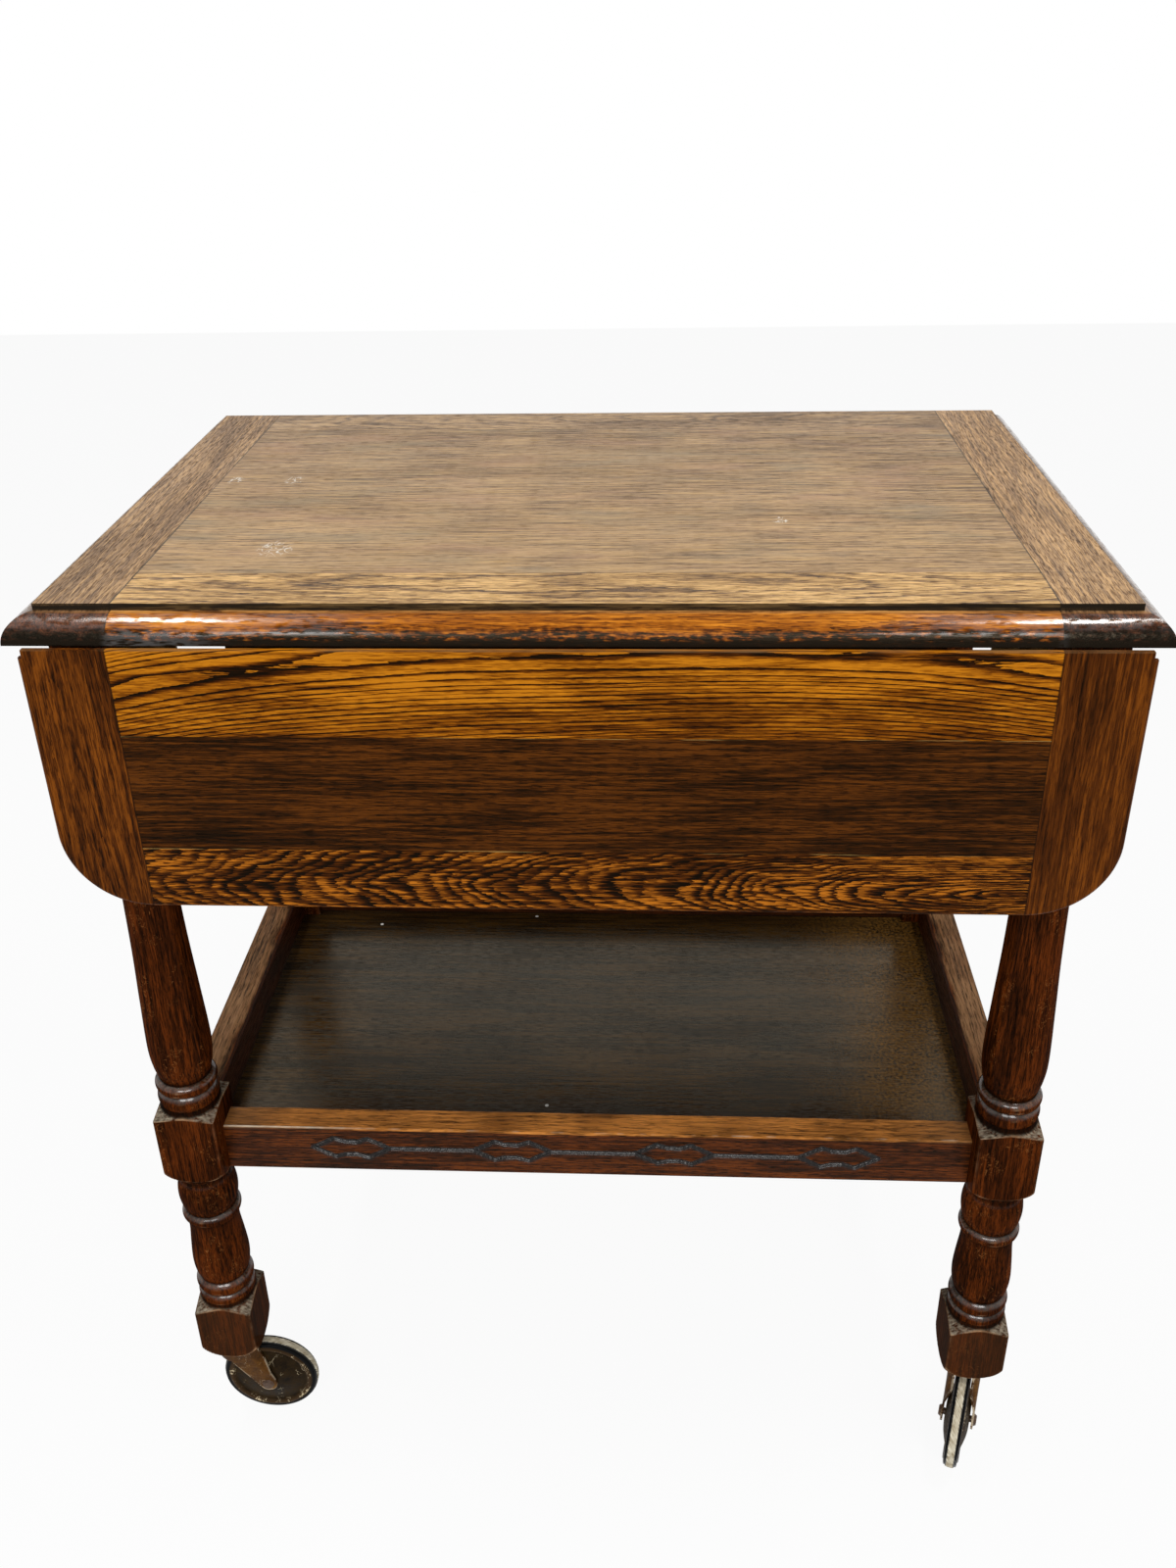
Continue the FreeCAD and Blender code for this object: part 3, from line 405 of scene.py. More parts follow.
# %% The oak finish
class Oak(Finish):
    """Oak seen in a board's own directions: axes names the grain, the width and the depth, in that order.

    offset and depth place the tree's axis beside and behind the middle of the board. tilt, bow and sway lead
    it away from there along the grain, sway sideways on both sides of apex. spacing is the width of a ring,
    and the rest are strengths.
    """

    def __init__(self, name, axes, centre, seed, stains, spacing=3.0, offset=0.0, depth=30.0, tilt=0.0,
                 bow=0.0, sway=0.0, apex=0.0, wander=14.0, ripple=3.0, frayed=0.5, width=0.45, rings=0.6,
                 broken=1.6, pores=0.4, streaks=0.9, patches=0.5, fall=0.0, shine=0.42):
        super().__init__(name, seed)
        along, across, deep = (getattr(self, axis) - middle for axis, middle in zip(axes, centre))
        bend = self.noise(along / 380, across / 110, deep / 110, 1.0, 1)
        wave = self.noise(along / 70, across / 24, deep / 24, 1.0, 2)
        from_apex = along - apex
        side = across + from_apex * from_apex * sway + bend * wander + wave * ripple + offset
        below = deep + along * tilt + along * along * bow + wave * ripple + depth
        radius = self.math("SQRT", side * side + below * below)
        uneven = self.noise(radius / 14, 0.0, 0.0, 1.0, 3)
        torn = self.noise(along / 12, across / 1.1, deep / 1.1, 2.0, 4)
        count = radius / spacing + uneven * 1.6 + torn * frayed
        year = self.math("FLOOR", count)
        strength = self.node("TexWhiteNoise", {"noise_dimensions": "1D"}, {"W": year})
        dashes = self.noise(along / 18, across / 0.8, deep / 0.8, 1.0, 5)
        line = self.step(count - year, width, 0.0) * (strength * 0.7 + 0.3) * (dashes * broken + 0.9)
        pore = self.step(self.noise(along / 9, across / 0.6, deep / 0.6, 1.0, 6), 0.03, 0.16)
        fibre = self.noise(along / 45, across / 2.0, deep / 2.0, 3.0, 7)
        patch = self.noise(along / 110, across / 24, deep / 24, 3.0, 8)
        shade = line * rings + pore * pores + fibre * streaks
        self.shade = self.clamp(shade + patch * patches - across * fall + 0.2)
        self.colour = self.ramp(self.shade, stains)
        self.relief = 1.0 - line * 0.4 - pore * 0.6
        self.rough = pore * 0.2 + patch * 0.12 + shine

    def bleach(self, mask, colour):
        """Wears the oak paler where the mask is 1, but leaves the dark of its pores."""
        self.tint(mask * (1.0 - self.shade * 0.9), colour)

    def varnished(self, level=0.1, warmth=(1.0, 0.75, 0.5, 1.0), bump_height=0.12, **more):
        """The oak's shader: level is its gloss seen face on, and warmth the tint of that gloss."""
        return self.shader(self.relief, bump_height, Base_Color=self.colour, Roughness=self.rough,
                           Specular_IOR_Level=level, Specular_Tint=warmth, **more)

    def finished(self, *how, **more):
        """Ends the material in the oak's shader."""
        self.end(self.varnished(*how, **more))
        return self.material


def tones(*cards):
    """Four evenly used stain colours, from the pale wood between pores to the darkest pore."""
    return [(place, paint(*card)) for place, card in zip((0.0, 0.32, 0.66, 1.0), cards)]


def centre_of(node):
    """Middle of a node's box, in millimetres by axis name."""
    low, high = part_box(node)
    return {axis: (a + b) / 2 / MM for axis, a, b in zip("xyz", low, high)}


def board(node, axes, seed, stains, **grain):
    """Oak for one node, its pattern centred on the node's own box."""
    middle = centre_of(node)
    return Oak(node, axes, [middle[axis] for axis in axes], seed, stains, **grain)


# %% [markdown]
# ## The top
# Years of light have faded the top to a grey brown, and part of that grey is a painted sheen. The panel
# is paler towards its middle and front, from wear and painted light, and painted darker towards its back,
# as shade. Its rails keep livelier arches than the straight grained panel. Dark dirt sits in the joints, and
# the quirk, the step above the rounded edge, is near black. Along the front and the back the edge has kept
# its amber colour and a polish that hands have dulled in the middle. Its lower half is painted darker, and
# its bottom near black, as shade. At the two ends it is a dark red brown that shines only at half its height.

# %% Stains of the top
# The top's stains are paler and greyer than faded oak alone: part of their grey is a painted sheen.
faded_and_sheen = tones((188, 152, 106), (146, 117, 84), (104, 80, 58), (60, 43, 30))
faded_rail_and_sheen = tones((230, 184, 118), (180, 140, 84), (118, 86, 52), (62, 42, 26))
faded_stile_and_sheen = tones((188, 148, 100), (138, 106, 72), (96, 70, 47), (54, 37, 25))
paler_stile_and_sheen = tones((206, 162, 108), (158, 122, 82), (110, 82, 56), (60, 43, 30))
amber = tones((204, 126, 34), (156, 87, 18), (96, 46, 8), (14, 6, 2))
end_brown = tones((106, 62, 40), (64, 36, 23), (30, 16, 10), (5, 3, 2))
side_brown = tones((134, 98, 62), (96, 66, 38), (60, 38, 20), (20, 11, 6))
# Near black: dirt in joints, and painted shade under the top's edge and in the legs' hollows.
dirt_and_shade = paint(12, 7, 4)
straw_yellow = paint(218, 176, 100)
FLAT_X, FLAT_Y, SHOULDER, EDGE_LOW = 302.5, 196.25, 712.0, 700.0
JOINT_X, JOINT_Y = 258.5, 150.25


# %% Marks of the top
def top_marks(oak, edge_stains):
    """Joint lines, a near-black quirk, the rounded edge with its own stains, painted shade on its lower half
    and at its bottom, and a worn line above it.

    oak.edge is 1 on the rounded edge and 0 on the flat; oak.polish tells where the edge still shines.
    """
    long_way, wide, height = abs(oak.x), abs(oak.y), oak.z
    rub = oak.lumps((60, 60, 3), 2.0, 20)
    mottle = oak.lumps((5, 2, 2), 2.0, 22)
    wavy = oak.lumps((5, 5, 2.5), 2.0, 21)
    worn_through = oak.lumps((7, 4, 1.5), 2.0, 23)

    oak.edge = oak.step(height, SHOULDER + 0.6, SHOULDER - 0.6)
    # lower darkens the lower half of the rounded edge, which faces down: painted shade.
    lower = oak.step(height + rub * 4, 709.0, EDGE_LOW + 1.5)
    edge_shade = oak.clamp(oak.shade * 0.8 + lower * (0.75 + mottle * 1.5))
    at_side = oak.step(wide, FLAT_Y + 2.0, FLAT_Y - 6.0)
    edge_colour = oak.mix(at_side, oak.ramp(edge_shade, edge_stains), oak.ramp(edge_shade, side_brown))
    oak.tint(oak.edge, edge_colour)

    joints = oak.near(long_way, JOINT_X, 0.8) + oak.near(wide, JOINT_Y, 0.5) * 0.7
    oak.tint(joints * (0.95 + rub), dirt_and_shade)
    step_x = oak.step(long_way, FLAT_X - 0.3, FLAT_X - 0.05)
    step_y = oak.step(wide, FLAT_Y - 0.3, FLAT_Y - 0.05)
    wall = oak.math("MAXIMUM", step_x, step_y) * oak.step(height, SHOULDER - 0.06, SHOULDER + 0.1)
    oak.tint(wall * (0.95 + rub * 0.4), dirt_and_shade)
    oak.tint(oak.near(height, SHOULDER - 0.25, 0.15) * (0.5 + rub), paint(170, 120, 72))
    # The bottom of the rounded edge, above the gap to the leaf, is painted near black: painted shade.
    oak.tint(oak.step(height, EDGE_LOW + 1.4, EDGE_LOW - 0.2) * 0.97, dirt_and_shade)

    handled = oak.step(abs(oak.x - 30.0) + rub * 60, 190.0, 110.0)
    gloss = oak.edge * (0.03 - handled * 0.12 - rub * 0.08)
    oak.rough = oak.rough * (1.0 - oak.edge * 0.5) - gloss + wall * 0.5
    at_end = oak.step(long_way, JOINT_X - 4.0, JOINT_X + 4.0)
    oak.relief = oak.relief * (1.0 - oak.edge * 0.75) + wavy * oak.edge * (0.6 + at_end * 0.9)
    underneath = oak.step(height, 705.5, 702.5) * (1.0 - at_end * 0.7) * oak.step(oak.x, -225.0, -185.0)
    mid_height = oak.near(height + rub * 2, 708.6, 4.6)
    glossy = oak.clamp(worn_through * 3.5 + rub + 0.9) * (1.0 - at_end * (1.0 - mid_height))
    oak.polish = (1.0 - handled) * (1.0 - underneath) * glossy


# %% Boards of the top
# fall darkens the panel towards its back, a painted shade. The tint below makes it paler towards its middle
# and front: wear, and painted light.
panel = board("top_panel", "xyz", 1, faded_and_sheen, spacing=3.1, offset=260, depth=40, wander=30, rings=0.4,
              pores=0.3, streaks=1.1, patches=0.35, fall=-0.0008, shine=0.45)
worn_and_lit_middle = panel.step(panel.noise(panel.x / 260, panel.y / 120, 0.0, 1.0, 30)
                         - abs(panel.x) / 900 - panel.y / 900, -0.25, 0.3)
panel.tint(worn_and_lit_middle * 0.25, paint(150, 122, 86))
cloud = panel.noise(panel.x / 90, panel.y / 34, 0.0, 2.0, 32)
panel.tint(panel.step(cloud, 0.05, 0.4) * 0.4, paint(134, 122, 98))
panel.tint(panel.step(cloud, -0.05, -0.4) * 0.35, paint(172, 132, 104))
straw = panel.noise(panel.x / 60, panel.y / 0.9, 0.0, 2.0, 33)
panel.tint(panel.step(straw, 0.1, 0.32) * 0.6, paint(204, 164, 104))
top_marks(panel, amber)
ragged = panel.noise(panel.x / 5, panel.y / 7, 0.0, 1.0, 31, 0.6)
for scuff_x, scuff_y, reach in ((-249, 26, 7), (-207, 26, 8), (-187, -110, 13), (120, -60, 6)):
    off_x = (panel.x - scuff_x) / reach
    off_y = (panel.y - scuff_y) / (reach * 1.2)
    inside = panel.step(off_x * off_x + off_y * off_y, 1.0, 0.2)
    panel.tint(inside * panel.near(ragged, 0.0, 0.09) * 0.85, paint(235, 230, 220))
dress(nodes["top_panel"], panel.finished(0.4, (1.0, 0.85, 0.65, 1.0), 0.08))

top_boards = (
    ("top_front_rail", "xyz", 2, faded_rail_and_sheen, amber,
     dict(spacing=2.8, offset=-12, bow=1.2e-4, rings=0.7, streaks=0.7)),
    ("top_back_rail", "xyz", 3, faded_and_sheen, amber,
     dict(spacing=2.4, depth=34, tilt=-0.08, rings=0.75)),
    ("top_left_stile", "yxz", 4, faded_stile_and_sheen, end_brown,
     dict(spacing=2.2, offset=70, depth=40, rings=0.3, streaks=0.7, patches=0.3)),
    ("top_right_stile", "yxz", 5, paler_stile_and_sheen, end_brown,
     dict(spacing=2.4, offset=50, rings=0.35, streaks=0.7, patches=0.3)),
)
warm_gloss = (1.0, 0.8, 0.55, 1.0)
for name, axes, seed, stains, edge_stains, grain in top_boards:
    oak = board(name, axes, seed, stains, **grain)
    top_marks(oak, edge_stains)
    flat = oak.varnished(0.35, warm_gloss, 0.08)
    polished = oak.varnished(0.12, warm_gloss, 0.08, Coat_Weight=oak.polish, Coat_Roughness=0.14,
                             Coat_IOR=1.6)
    oak.end(oak.node("MixShader", {}, {0: oak.edge, 1: flat, 2: polished}))
    dress(nodes[name], oak.material)
print("top of 5 boards")

# %% [markdown]
# ## The leaves
# The leaves hang in the shade and keep their colour: a golden inner rail with bold curved grain, a dark
# straight grained panel, an outer rail whose grain zigzags, and two stiles with grain that stands upright.
# A thin pale line runs along the lip of the rule joint: worn varnish, and a painted highlight on its upper
# edge.

# %% Stains of the leaves
golden = tones((196, 121, 20), (134, 73, 6), (62, 26, 1), (12, 4, 0))
panel_brown = tones((92, 48, 9), (52, 24, 3), (24, 10, 1), (6, 2, 0))
tawny = tones((184, 108, 26), (90, 44, 5), (34, 12, 1), (8, 3, 0))
upright = tones((124, 66, 14), (78, 37, 6), (38, 15, 2), (9, 3, 0))
LEAF_TOP, LEAF_SEAM_HIGH, LEAF_SEAM_LOW = 696.2, 643.0, 568.5


# %% Boards of the leaves
def leaf_marks(oak):
    """Joint lines, some dark and some pale with old polish, and the pale lip at the top of the leaf: wear and
    a painted highlight.
    """
    long_way, height = oak.x, oak.z
    patchy = oak.noise(long_way / 50, 0.0, height / 25, 2.0, 40)
    uprights = oak.near(abs(long_way), JOINT_X, 0.7)
    levels = oak.near(height, LEAF_SEAM_HIGH, 0.5) + oak.near(height, LEAF_SEAM_LOW, 0.5)
    between = oak.step(abs(long_way), JOINT_X + 0.2, JOINT_X - 0.2)
    oak.tint(uprights * 0.8 + levels * between * 0.5, dirt_and_shade)
    oak.tint(levels * between * oak.step(patchy, 0.12, 0.3) * 0.6, straw_yellow)
    # The lip's upper edge is painted pale: wear, and a painted highlight where it faces up.
    lip = oak.step(height, LEAF_TOP - 0.8, LEAF_TOP - 0.3)
    oak.tint(lip * (patchy + 0.3), paint(128, 96, 62))


leaf_boards = (
    ("inner_rail", "xzy", golden,
     dict(spacing=2.4, offset=-34, depth=26, sway=3.2e-4, apex=50, wander=10, ripple=1.6, frayed=0.12,
          rings=1.3, broken=0.7, pores=0.22, streaks=0.65, fall=0.006)),
    ("panel", "xzy", panel_brown,
     dict(spacing=1.8, offset=220, wander=24, rings=0.35, pores=0.3, patches=0.6)),
    ("outer_rail", "xzy", tawny,
     dict(spacing=1.7, offset=8, depth=44, tilt=-0.14, wander=10, ripple=4.0, frayed=0.45, width=0.7,
          rings=1.1, pores=0.35, streaks=0.8, patches=0.6)),
    ("left_stile", "zxy", upright,
     dict(spacing=2.6, offset=14, depth=34, tilt=0.04, rings=0.45, pores=0.25, streaks=0.6)),
    ("right_stile", "zxy", upright,
     dict(spacing=1.8, offset=44, depth=40, rings=0.3, pores=0.15, streaks=0.55)),
)
for row, side in enumerate(("front", "back")):
    for place, (kind, axes, stains, grain) in enumerate(leaf_boards):
        name = side + "_leaf_" + kind
        oak = board(name, axes, 6 + row * 5 + place, stains, **grain)
        leaf_marks(oak)
        dress(nodes[name], oak.finished(0.06))
print("2 leaves of 5 boards")

# %% [markdown]
# ## Under the top and round the shelf
# Aprons, bearers and the cross bearer are plain dark oak. The shelf's rails are redder, worn to a lighter
# brown along their tops, and painted darker on their inner faces, as shade. The shelf's panel is nearly
# black, with a soft gloss, and browner along its front, a painted reflection of the leaf.

# %% Frame and shelf boards
dark_oak = tones((84, 46, 20), (60, 30, 11), (36, 16, 5), (14, 6, 2))
red_oak = tones((102, 49, 13), (60, 25, 6), (30, 11, 2), (9, 3, 1))
shelf_black = tones((74, 50, 18), (46, 30, 11), (24, 14, 5), (7, 4, 2))
worn_brown, worn_grey = paint(232, 150, 70), paint(164, 122, 84)

frame_boards = (("left_apron", "yzx"), ("right_apron", "yzx"), ("front_bearer", "xzy"),
                ("back_bearer", "xzy"), ("cross_bearer", "yzx"))
for place, (name, axes) in enumerate(frame_boards):
    oak = board(name, axes, 20 + place, dark_oak, spacing=3.4, depth=50, tilt=0.03)
    dress(nodes[name], oak.finished())

SHELF_TOP, SHELF_PANEL_TOP = 303.0, 272.0


def shelf_rail_marks(oak, inner_face, top_colour):
    """A top worn paler, and an inner face painted darker as shade, darkest along the shelf's panel.
    inner_face tells the inside by its coordinate.
    """
    height = oak.z
    rub = oak.lumps((40, 40, 4), 2.0, 50)
    worn = oak.step(height + rub * 2, SHELF_TOP - 2.2, SHELF_TOP - 0.4)
    oak.bleach(worn * (1.0 - inner_face) * (0.8 + rub * 0.9), top_colour)
    # The inner face is painted darker, and darkest along the panel: painted shade.
    oak.tint(inner_face * 0.6, paint(24, 8, 4))
    oak.tint(oak.near(height, SHELF_PANEL_TOP, 2.0) * inner_face * 0.8, dirt_and_shade)


for place, name in enumerate(("shelf_left_rail", "shelf_right_rail")):
    oak = board(name, "yzx", 25 + place, red_oak, spacing=3.0, depth=45, tilt=0.03)
    shelf_rail_marks(oak, oak.step(abs(oak.x), 279.0, 278.4), worn_grey)
    dress(nodes[name], oak.finished())

shelf = board("shelf_panel", "xyz", 28, shelf_black, spacing=2.0, offset=240, wander=20, rings=0.3,
              streaks=1.0, shine=0.22)
smear = shelf.noise(shelf.x / 70, shelf.y / 50, 0.0, 3.0, 51)
shelf.rough = shelf.rough + smear * 0.16
# The panel's front is painted browner: a painted reflection of the hanging leaf.
shelf.tint(shelf.step(shelf.y + smear * 20, -90.0, -125.0) * 0.6, paint(62, 34, 12))
crumbs = shelf.noise(shelf.x / 2.4, shelf.y / 2.4, 0.0, 2.0, 52)
from_right = shelf.step(shelf.x + smear * 60, 140.0, 250.0)
shelf.tint(from_right * (0.3 + crumbs * 1.2), paint(122, 84, 32))
for speck_x, speck_y in ((-37.4, -104.1), (-203.1, 124.5), (-64.2, 139.6)):
    off_x, off_y = shelf.x - speck_x, shelf.y - speck_y
    shelf.tint(shelf.step(off_x * off_x + off_y * off_y, 2.6, 1.4), paint(240, 238, 232))
dress(nodes["shelf_panel"], shelf.finished(0.4, (1.0, 0.92, 0.66, 1.0), 0.03))
print("frame boards, 2 end rails and the shelf panel")

# %% [markdown]
# ## The turned legs
# Each leg is turned from square stock, left square where the rails meet it. So its surface is the smaller of
# two distances from the axis: the turned profile and the square. Where they meet, the turning cuts curved
# shoulders into the block. The square's corners are a little round from wear.

# %% The leg's profile
LEG_X, LEG_Y, STOCK_HALF = 284.2, 160.0, 21.5
BEYOND = STOCK_HALF * 1.46
NEAR_AXIS = 0.02
BORE_R, BORE_TOP, BORE_POINTS, FOOT_Z = 6.65, 108.0, 4, 79.0

bore = [(stretch, (BORE_R, BORE_TOP), 1), (stretch, (BORE_R, FOOT_Z), 2), (stretch, (19.0, FOOT_Z), 3)]
foot = [(arc, (27.8, 85.8), (BEYOND, 99.5), 16), (stretch, (BEYOND, 126.0), 14),
        (flow, (25.0, 129.3), (21.5, 132.4), (20.0, 135.8), 8), (arc, (21.2, 139.9), (18.7, 144.6), 10),
        (arc, (21.4, 150.6), (18.3, 156.6), 12), (stretch, (18.2, 157.0), 1)]
vase = [(flow, (20.2, 163.5), (20.9, 174.3), (19.8, 190.3), (18.4, 205.8), (18.6, 216.5), 7),
        (arc, (21.4, 221.25), (18.6, 226.0), 12), (arc, (21.4, 241.25), (18.4, 256.5), 18),
        (stretch, (18.4, 260.4), 2), (stretch, (19.8, 260.8), 1), (stretch, (19.8, 263.2), 2),
        (stretch, (20.0, 264.0), 1)]
shelf_block = [(arc, (28.4, 269.4), (BEYOND, 280.0), 16), (stretch, (BEYOND, 320.2), 18),
               (flow, (25.0, 321.8), (21.5, 323.6), (19.7, 328.0), 8),
               (arc, (21.3, 334.2), (18.6, 340.2), 12), (arc, (21.4, 345.6), (17.6, 350.2), 12),
               (stretch, (17.6, 350.6), 1)]
column = [(flow, (20.2, 361.2), (21.45, 378.6), (20.0, 418.9), (18.2, 463.2), (16.8, 527.6),
           (15.4, 580.0), 9),
          (arc, (18.6, 584.2), (16.2, 588.4), 10), (arc, (20.2, 592.6), (19.8, 596.4), 10),
          (flow, (21.5, 600.0), (25.0, 602.0), (BEYOND, 603.5), 6), (stretch, (BEYOND, 697.0), 16)]
leg_profile = draw((NEAR_AXIS, BORE_TOP), *bore, *foot, *vase, *shelf_block, *column)
print("leg profile of", len(leg_profile), "points")

# %% [markdown]
# Dust, dirt, painted shade and wear follow the turning, so they are worked out from the same numbers. Dust
# lies on what faces up, dirt and painted shade darken hollows narrower than a finger, the varnish is gone
# where turning and square meet, and the upper sides of the beads still shine.

# %% The leg's surface
quarter = np.linspace(-1, 1, 25)[:-1]
from_corner = math.pi / 4 * np.sign(quarter) * np.abs(quarter) ** 1.6
angles = (math.pi / 4 + from_corner[None, :] + math.pi / 2 * np.arange(4)[:, None]).reshape(-1)
SQUARENESS, BLEND, HOLLOW_REACH, ARRIS_R, ARRIS_WEAR = 36, 0.22, 4.5, 29, 0.9
to_sides = np.abs([np.cos(angles), np.sin(angles)])
square = STOCK_HALF / (to_sides ** SQUARENESS).sum(0) ** (1 / SQUARENESS)

turned, heights = leg_profile.T
radii = -BLEND * np.logaddexp(-turned[:, None] / BLEND, -square[None, :] / BLEND)
radii[:BORE_POINTS] = turned[:BORE_POINTS, None]
path = np.concatenate([[0], np.cumsum(np.hypot(np.diff(turned), np.diff(heights)))])
slope = -np.gradient(radii, path, axis=0)
block_tops = ((heights > 125) & (heights < 136.5)) | ((heights > 318) & (heights < 328.5))
faces_up = np.clip((slope - 0.35) / 0.4, 0, 1) * np.where(block_tops, 1.0, 0.2)[:, None]
# hollow marks grooves narrower than a finger, which are darkened with dirt and painted shade.
nearby = np.exp(-((heights[:, None] - heights) / HOLLOW_REACH) ** 2)
smooth_turned = nearby @ turned / nearby.sum(1)
hollow = np.clip((smooth_turned - turned) / 1.3, 0, 1) * (turned < STOCK_HALF) * (heights > 100)
steep = np.abs(np.gradient(turned, path)) > 0.25
meeting = np.exp(-((turned[:, None] - square[None, :]) / 0.55) ** 2) * steep[:, None]
arris = np.exp(-(np.tile(np.abs(from_corner), 4) * ARRIS_R / ARRIS_WEAR) ** 2)
worn = np.clip(meeting + arris[None, :] * (turned[:, None] > square[None, :]) * 0.12, 0, 1)
beads = np.zeros(len(heights))
for low, high in ((140.0, 157.0), (217.0, 257.0), (328.0, 351.0), (580.0, 597.0)):
    beads[(heights > low) & (heights < high)] = 1.0
polish = np.clip((slope - 0.3) / 0.25, 0, 1) * beads[:, None]

# %% [markdown]
# Oak for legs is cut so that bright flecks of ray cells show on two opposite faces. The flecks are short
# curls that lie across the grain, made from noise that is stretched sideways and bent.

# %% The leg's finish
leg_brown = tones((94, 43, 12), (59, 26, 7), (32, 13, 4), (12, 5, 2))
dusty = paint(158, 146, 126)
LEG_MIDDLE = 380.0


def leg_finish(corner_name, x, y, seed):
    """Leg oak centred on the leg's axis, with the dust, the wear, and the grime and painted shade in hollows
    that its mesh carries.
    """
    oak = Oak(corner_name + "_leg", "zxy", (LEG_MIDDLE, x, y), seed, leg_brown, spacing=1.5, offset=60,
              wander=10, rings=0.3, pores=0.28, streaks=0.75, patches=0.6, shine=0.3)
    curls = oak.lumps((3.4, 5, 4.6), 1.0, 60, 1.6)
    some = oak.lumps((20, 20, 26), 1.0, 63)
    rays_face = oak.step(abs(oak.y - y), 6.0, 12.0) * oak.step(some, 0.0, 0.16)
    oak.tint(oak.near(curls, 0.26, 0.06) * rays_face * 0.45, paint(164, 104, 54))
    oak.tint(oak.step(oak.z, 140.0, 126.0) * 0.5, paint(64, 42, 26))
    grime = oak.lumps((9, 9, 7), 3.0, 61)
    crumbs = oak.lumps((3, 1.4, 3), 3.0, 64)
    # Hollows are darkened: dirt, and painted shade.
    oak.tint(oak.attribute("hollow") * 0.85, dirt_and_shade)
    faces_up = oak.attribute("faces_up")
    oak.tint(faces_up * (0.5 + grime * 0.5 + crumbs * 1.5), dusty)
    oak.tint(oak.attribute("worn") * (0.35 + grime * 1.3), paint(190, 150, 112))
    oak.rough = oak.rough + faces_up * 0.3
    glints = oak.clamp(oak.attribute("polish") * (1.0 + grime * 1.8) + 0.02)
    return oak.finished(0.0, Coat_Weight=glints, Coat_Roughness=0.16)


corners = {"front_left": (-1, -1), "front_right": (1, -1), "back_right": (1, 1), "back_left": (-1, 1)}
for seed, (corner_name, (side_x, side_y)) in enumerate(corners.items()):
    x, y = side_x * LEG_X, side_y * LEG_Y
    points = grid(x + radii * np.cos(angles), y + radii * np.sin(angles), heights[:, None])
    leg = piece(corner_name + "_turned_leg", "root", "stained_oak", points, tube(points),
                leg_finish(corner_name, x, y, 30 + seed), crease=48,
                worn=worn, faces_up=faces_up, polish=polish, hollow=hollow[:, None])
    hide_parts(corner_name + "_leg")
print("4 legs of", len(radii) * len(angles), "points")

# %% [markdown]
# ## The carved rail
# The rail's section is carried along its length, with close rows across its face so that the carving can be
# pressed into it: each point goes in by a depth that falls off from the nearest line of the chain.
# A gouge leaves a small burr beside its cut and a slightly uneven floor, and both catch the light.

# %% The chain of lozenges
RAIL_FACE, RAIL_BACK, RAIL_LOW, RAIL_END = -165.0, -144.5, 264.0, 262.7
CHAIN_Z, PITCH, HALF_LOZENGE = 285.0, 114.7, 27.5


def chain_lines():
    """Start and end of every carved line, as (x, z)."""
    lines = []
    for number in range(4):
        middle = (number - 1.5) * PITCH
        shake = 0.5 * math.sin(number * 2.3)
        outline = [(-HALF_LOZENGE, 0), (-12 + shake, 8.7), (-5, 6.2), (4, 5.6), (12 + shake, 8.7),
                   (HALF_LOZENGE, 0), (12 - shake, -8.7), (3, -5.8), (-5, -6.1), (-12 - shake, -8.4)]
        ring = [(middle + x, CHAIN_Z + z) for x, z in outline]
        lines += list(zip(ring, ring[1:] + ring[:1]))
        if number:
            lines.append(((middle - PITCH + HALF_LOZENGE, CHAIN_Z), ring[0]))
    return lines


def distance_to_lines(x, z, lines):
    """Distance from each point to the nearest line: drop a foot on each line, kept between its ends."""
    nearest = np.full(x.shape, 1e3)
    for start, end in lines:
        run = np.subtract(end, start)
        share = np.clip(((x - start[0]) * run[0] + (z - start[1]) * run[1]) / (run @ run), 0, 1)
        gap = np.hypot(x - start[0] - share * run[0], z - start[1] - share * run[1])
        nearest = np.minimum(nearest, gap)
    return nearest


# %% The rail's surface
FACE_ROWS, ROUND_POINTS = 60, 5


def rounded(centre_depth, centre_z, radius, start, end, count=ROUND_POINTS):
    """Corner of a section: points of a small arc between two angles in degrees."""
    turn = np.radians(np.linspace(start, end, count))
    return np.stack([centre_depth - radius * np.cos(turn), centre_z + radius * np.sin(turn)], -1)


section = np.concatenate([
    rounded(RAIL_FACE + 1.0, RAIL_LOW + 1.0, 1.0, -90, 0),
    np.stack([np.full(FACE_ROWS, RAIL_FACE), np.linspace(266.0, 300.5, FACE_ROWS)], -1),
    rounded(RAIL_FACE + 1.6, SHELF_TOP - 1.6, 1.6, 0, 90, 7),
    stretch([(RAIL_FACE + 1.6, SHELF_TOP), (RAIL_BACK - 1.0, SHELF_TOP)], 8),
    rounded(RAIL_BACK - 1.0, SHELF_TOP - 1.0, 1.0, 90, 180)[1:],
    [(RAIL_BACK, CHAIN_Z), (RAIL_BACK, RAIL_LOW)]])
chain_end = 1.5 * PITCH + HALF_LOZENGE + 3
stations = np.concatenate([np.linspace(-RAIL_END, -chain_end, 10)[:-1],
                           np.arange(-chain_end, chain_end, 0.62), np.linspace(chain_end, RAIL_END, 10)])
along_x, up_z = np.meshgrid(stations, section[:, 1], indexing="ij")
gap = distance_to_lines(along_x, up_z, chain_lines())
row = np.arange(len(section)) - ROUND_POINTS
on_face = (row >= 0) & (row < FACE_ROWS)
chatter = 1 + 0.14 * np.sin(along_x * 1.9 + up_z * 1.3) * np.sin(along_x * 0.83)
gouged, burr = 1.6 * np.exp(-(gap / 1.35) ** 4), 0.35 * np.exp(-((gap - 2.4) / 0.7) ** 2)
cut = (gouged - burr) * chatter * on_face
carved = np.exp(-(gap / 2.2) ** 8) * on_face
print("carved rail of", along_x.size, "points")


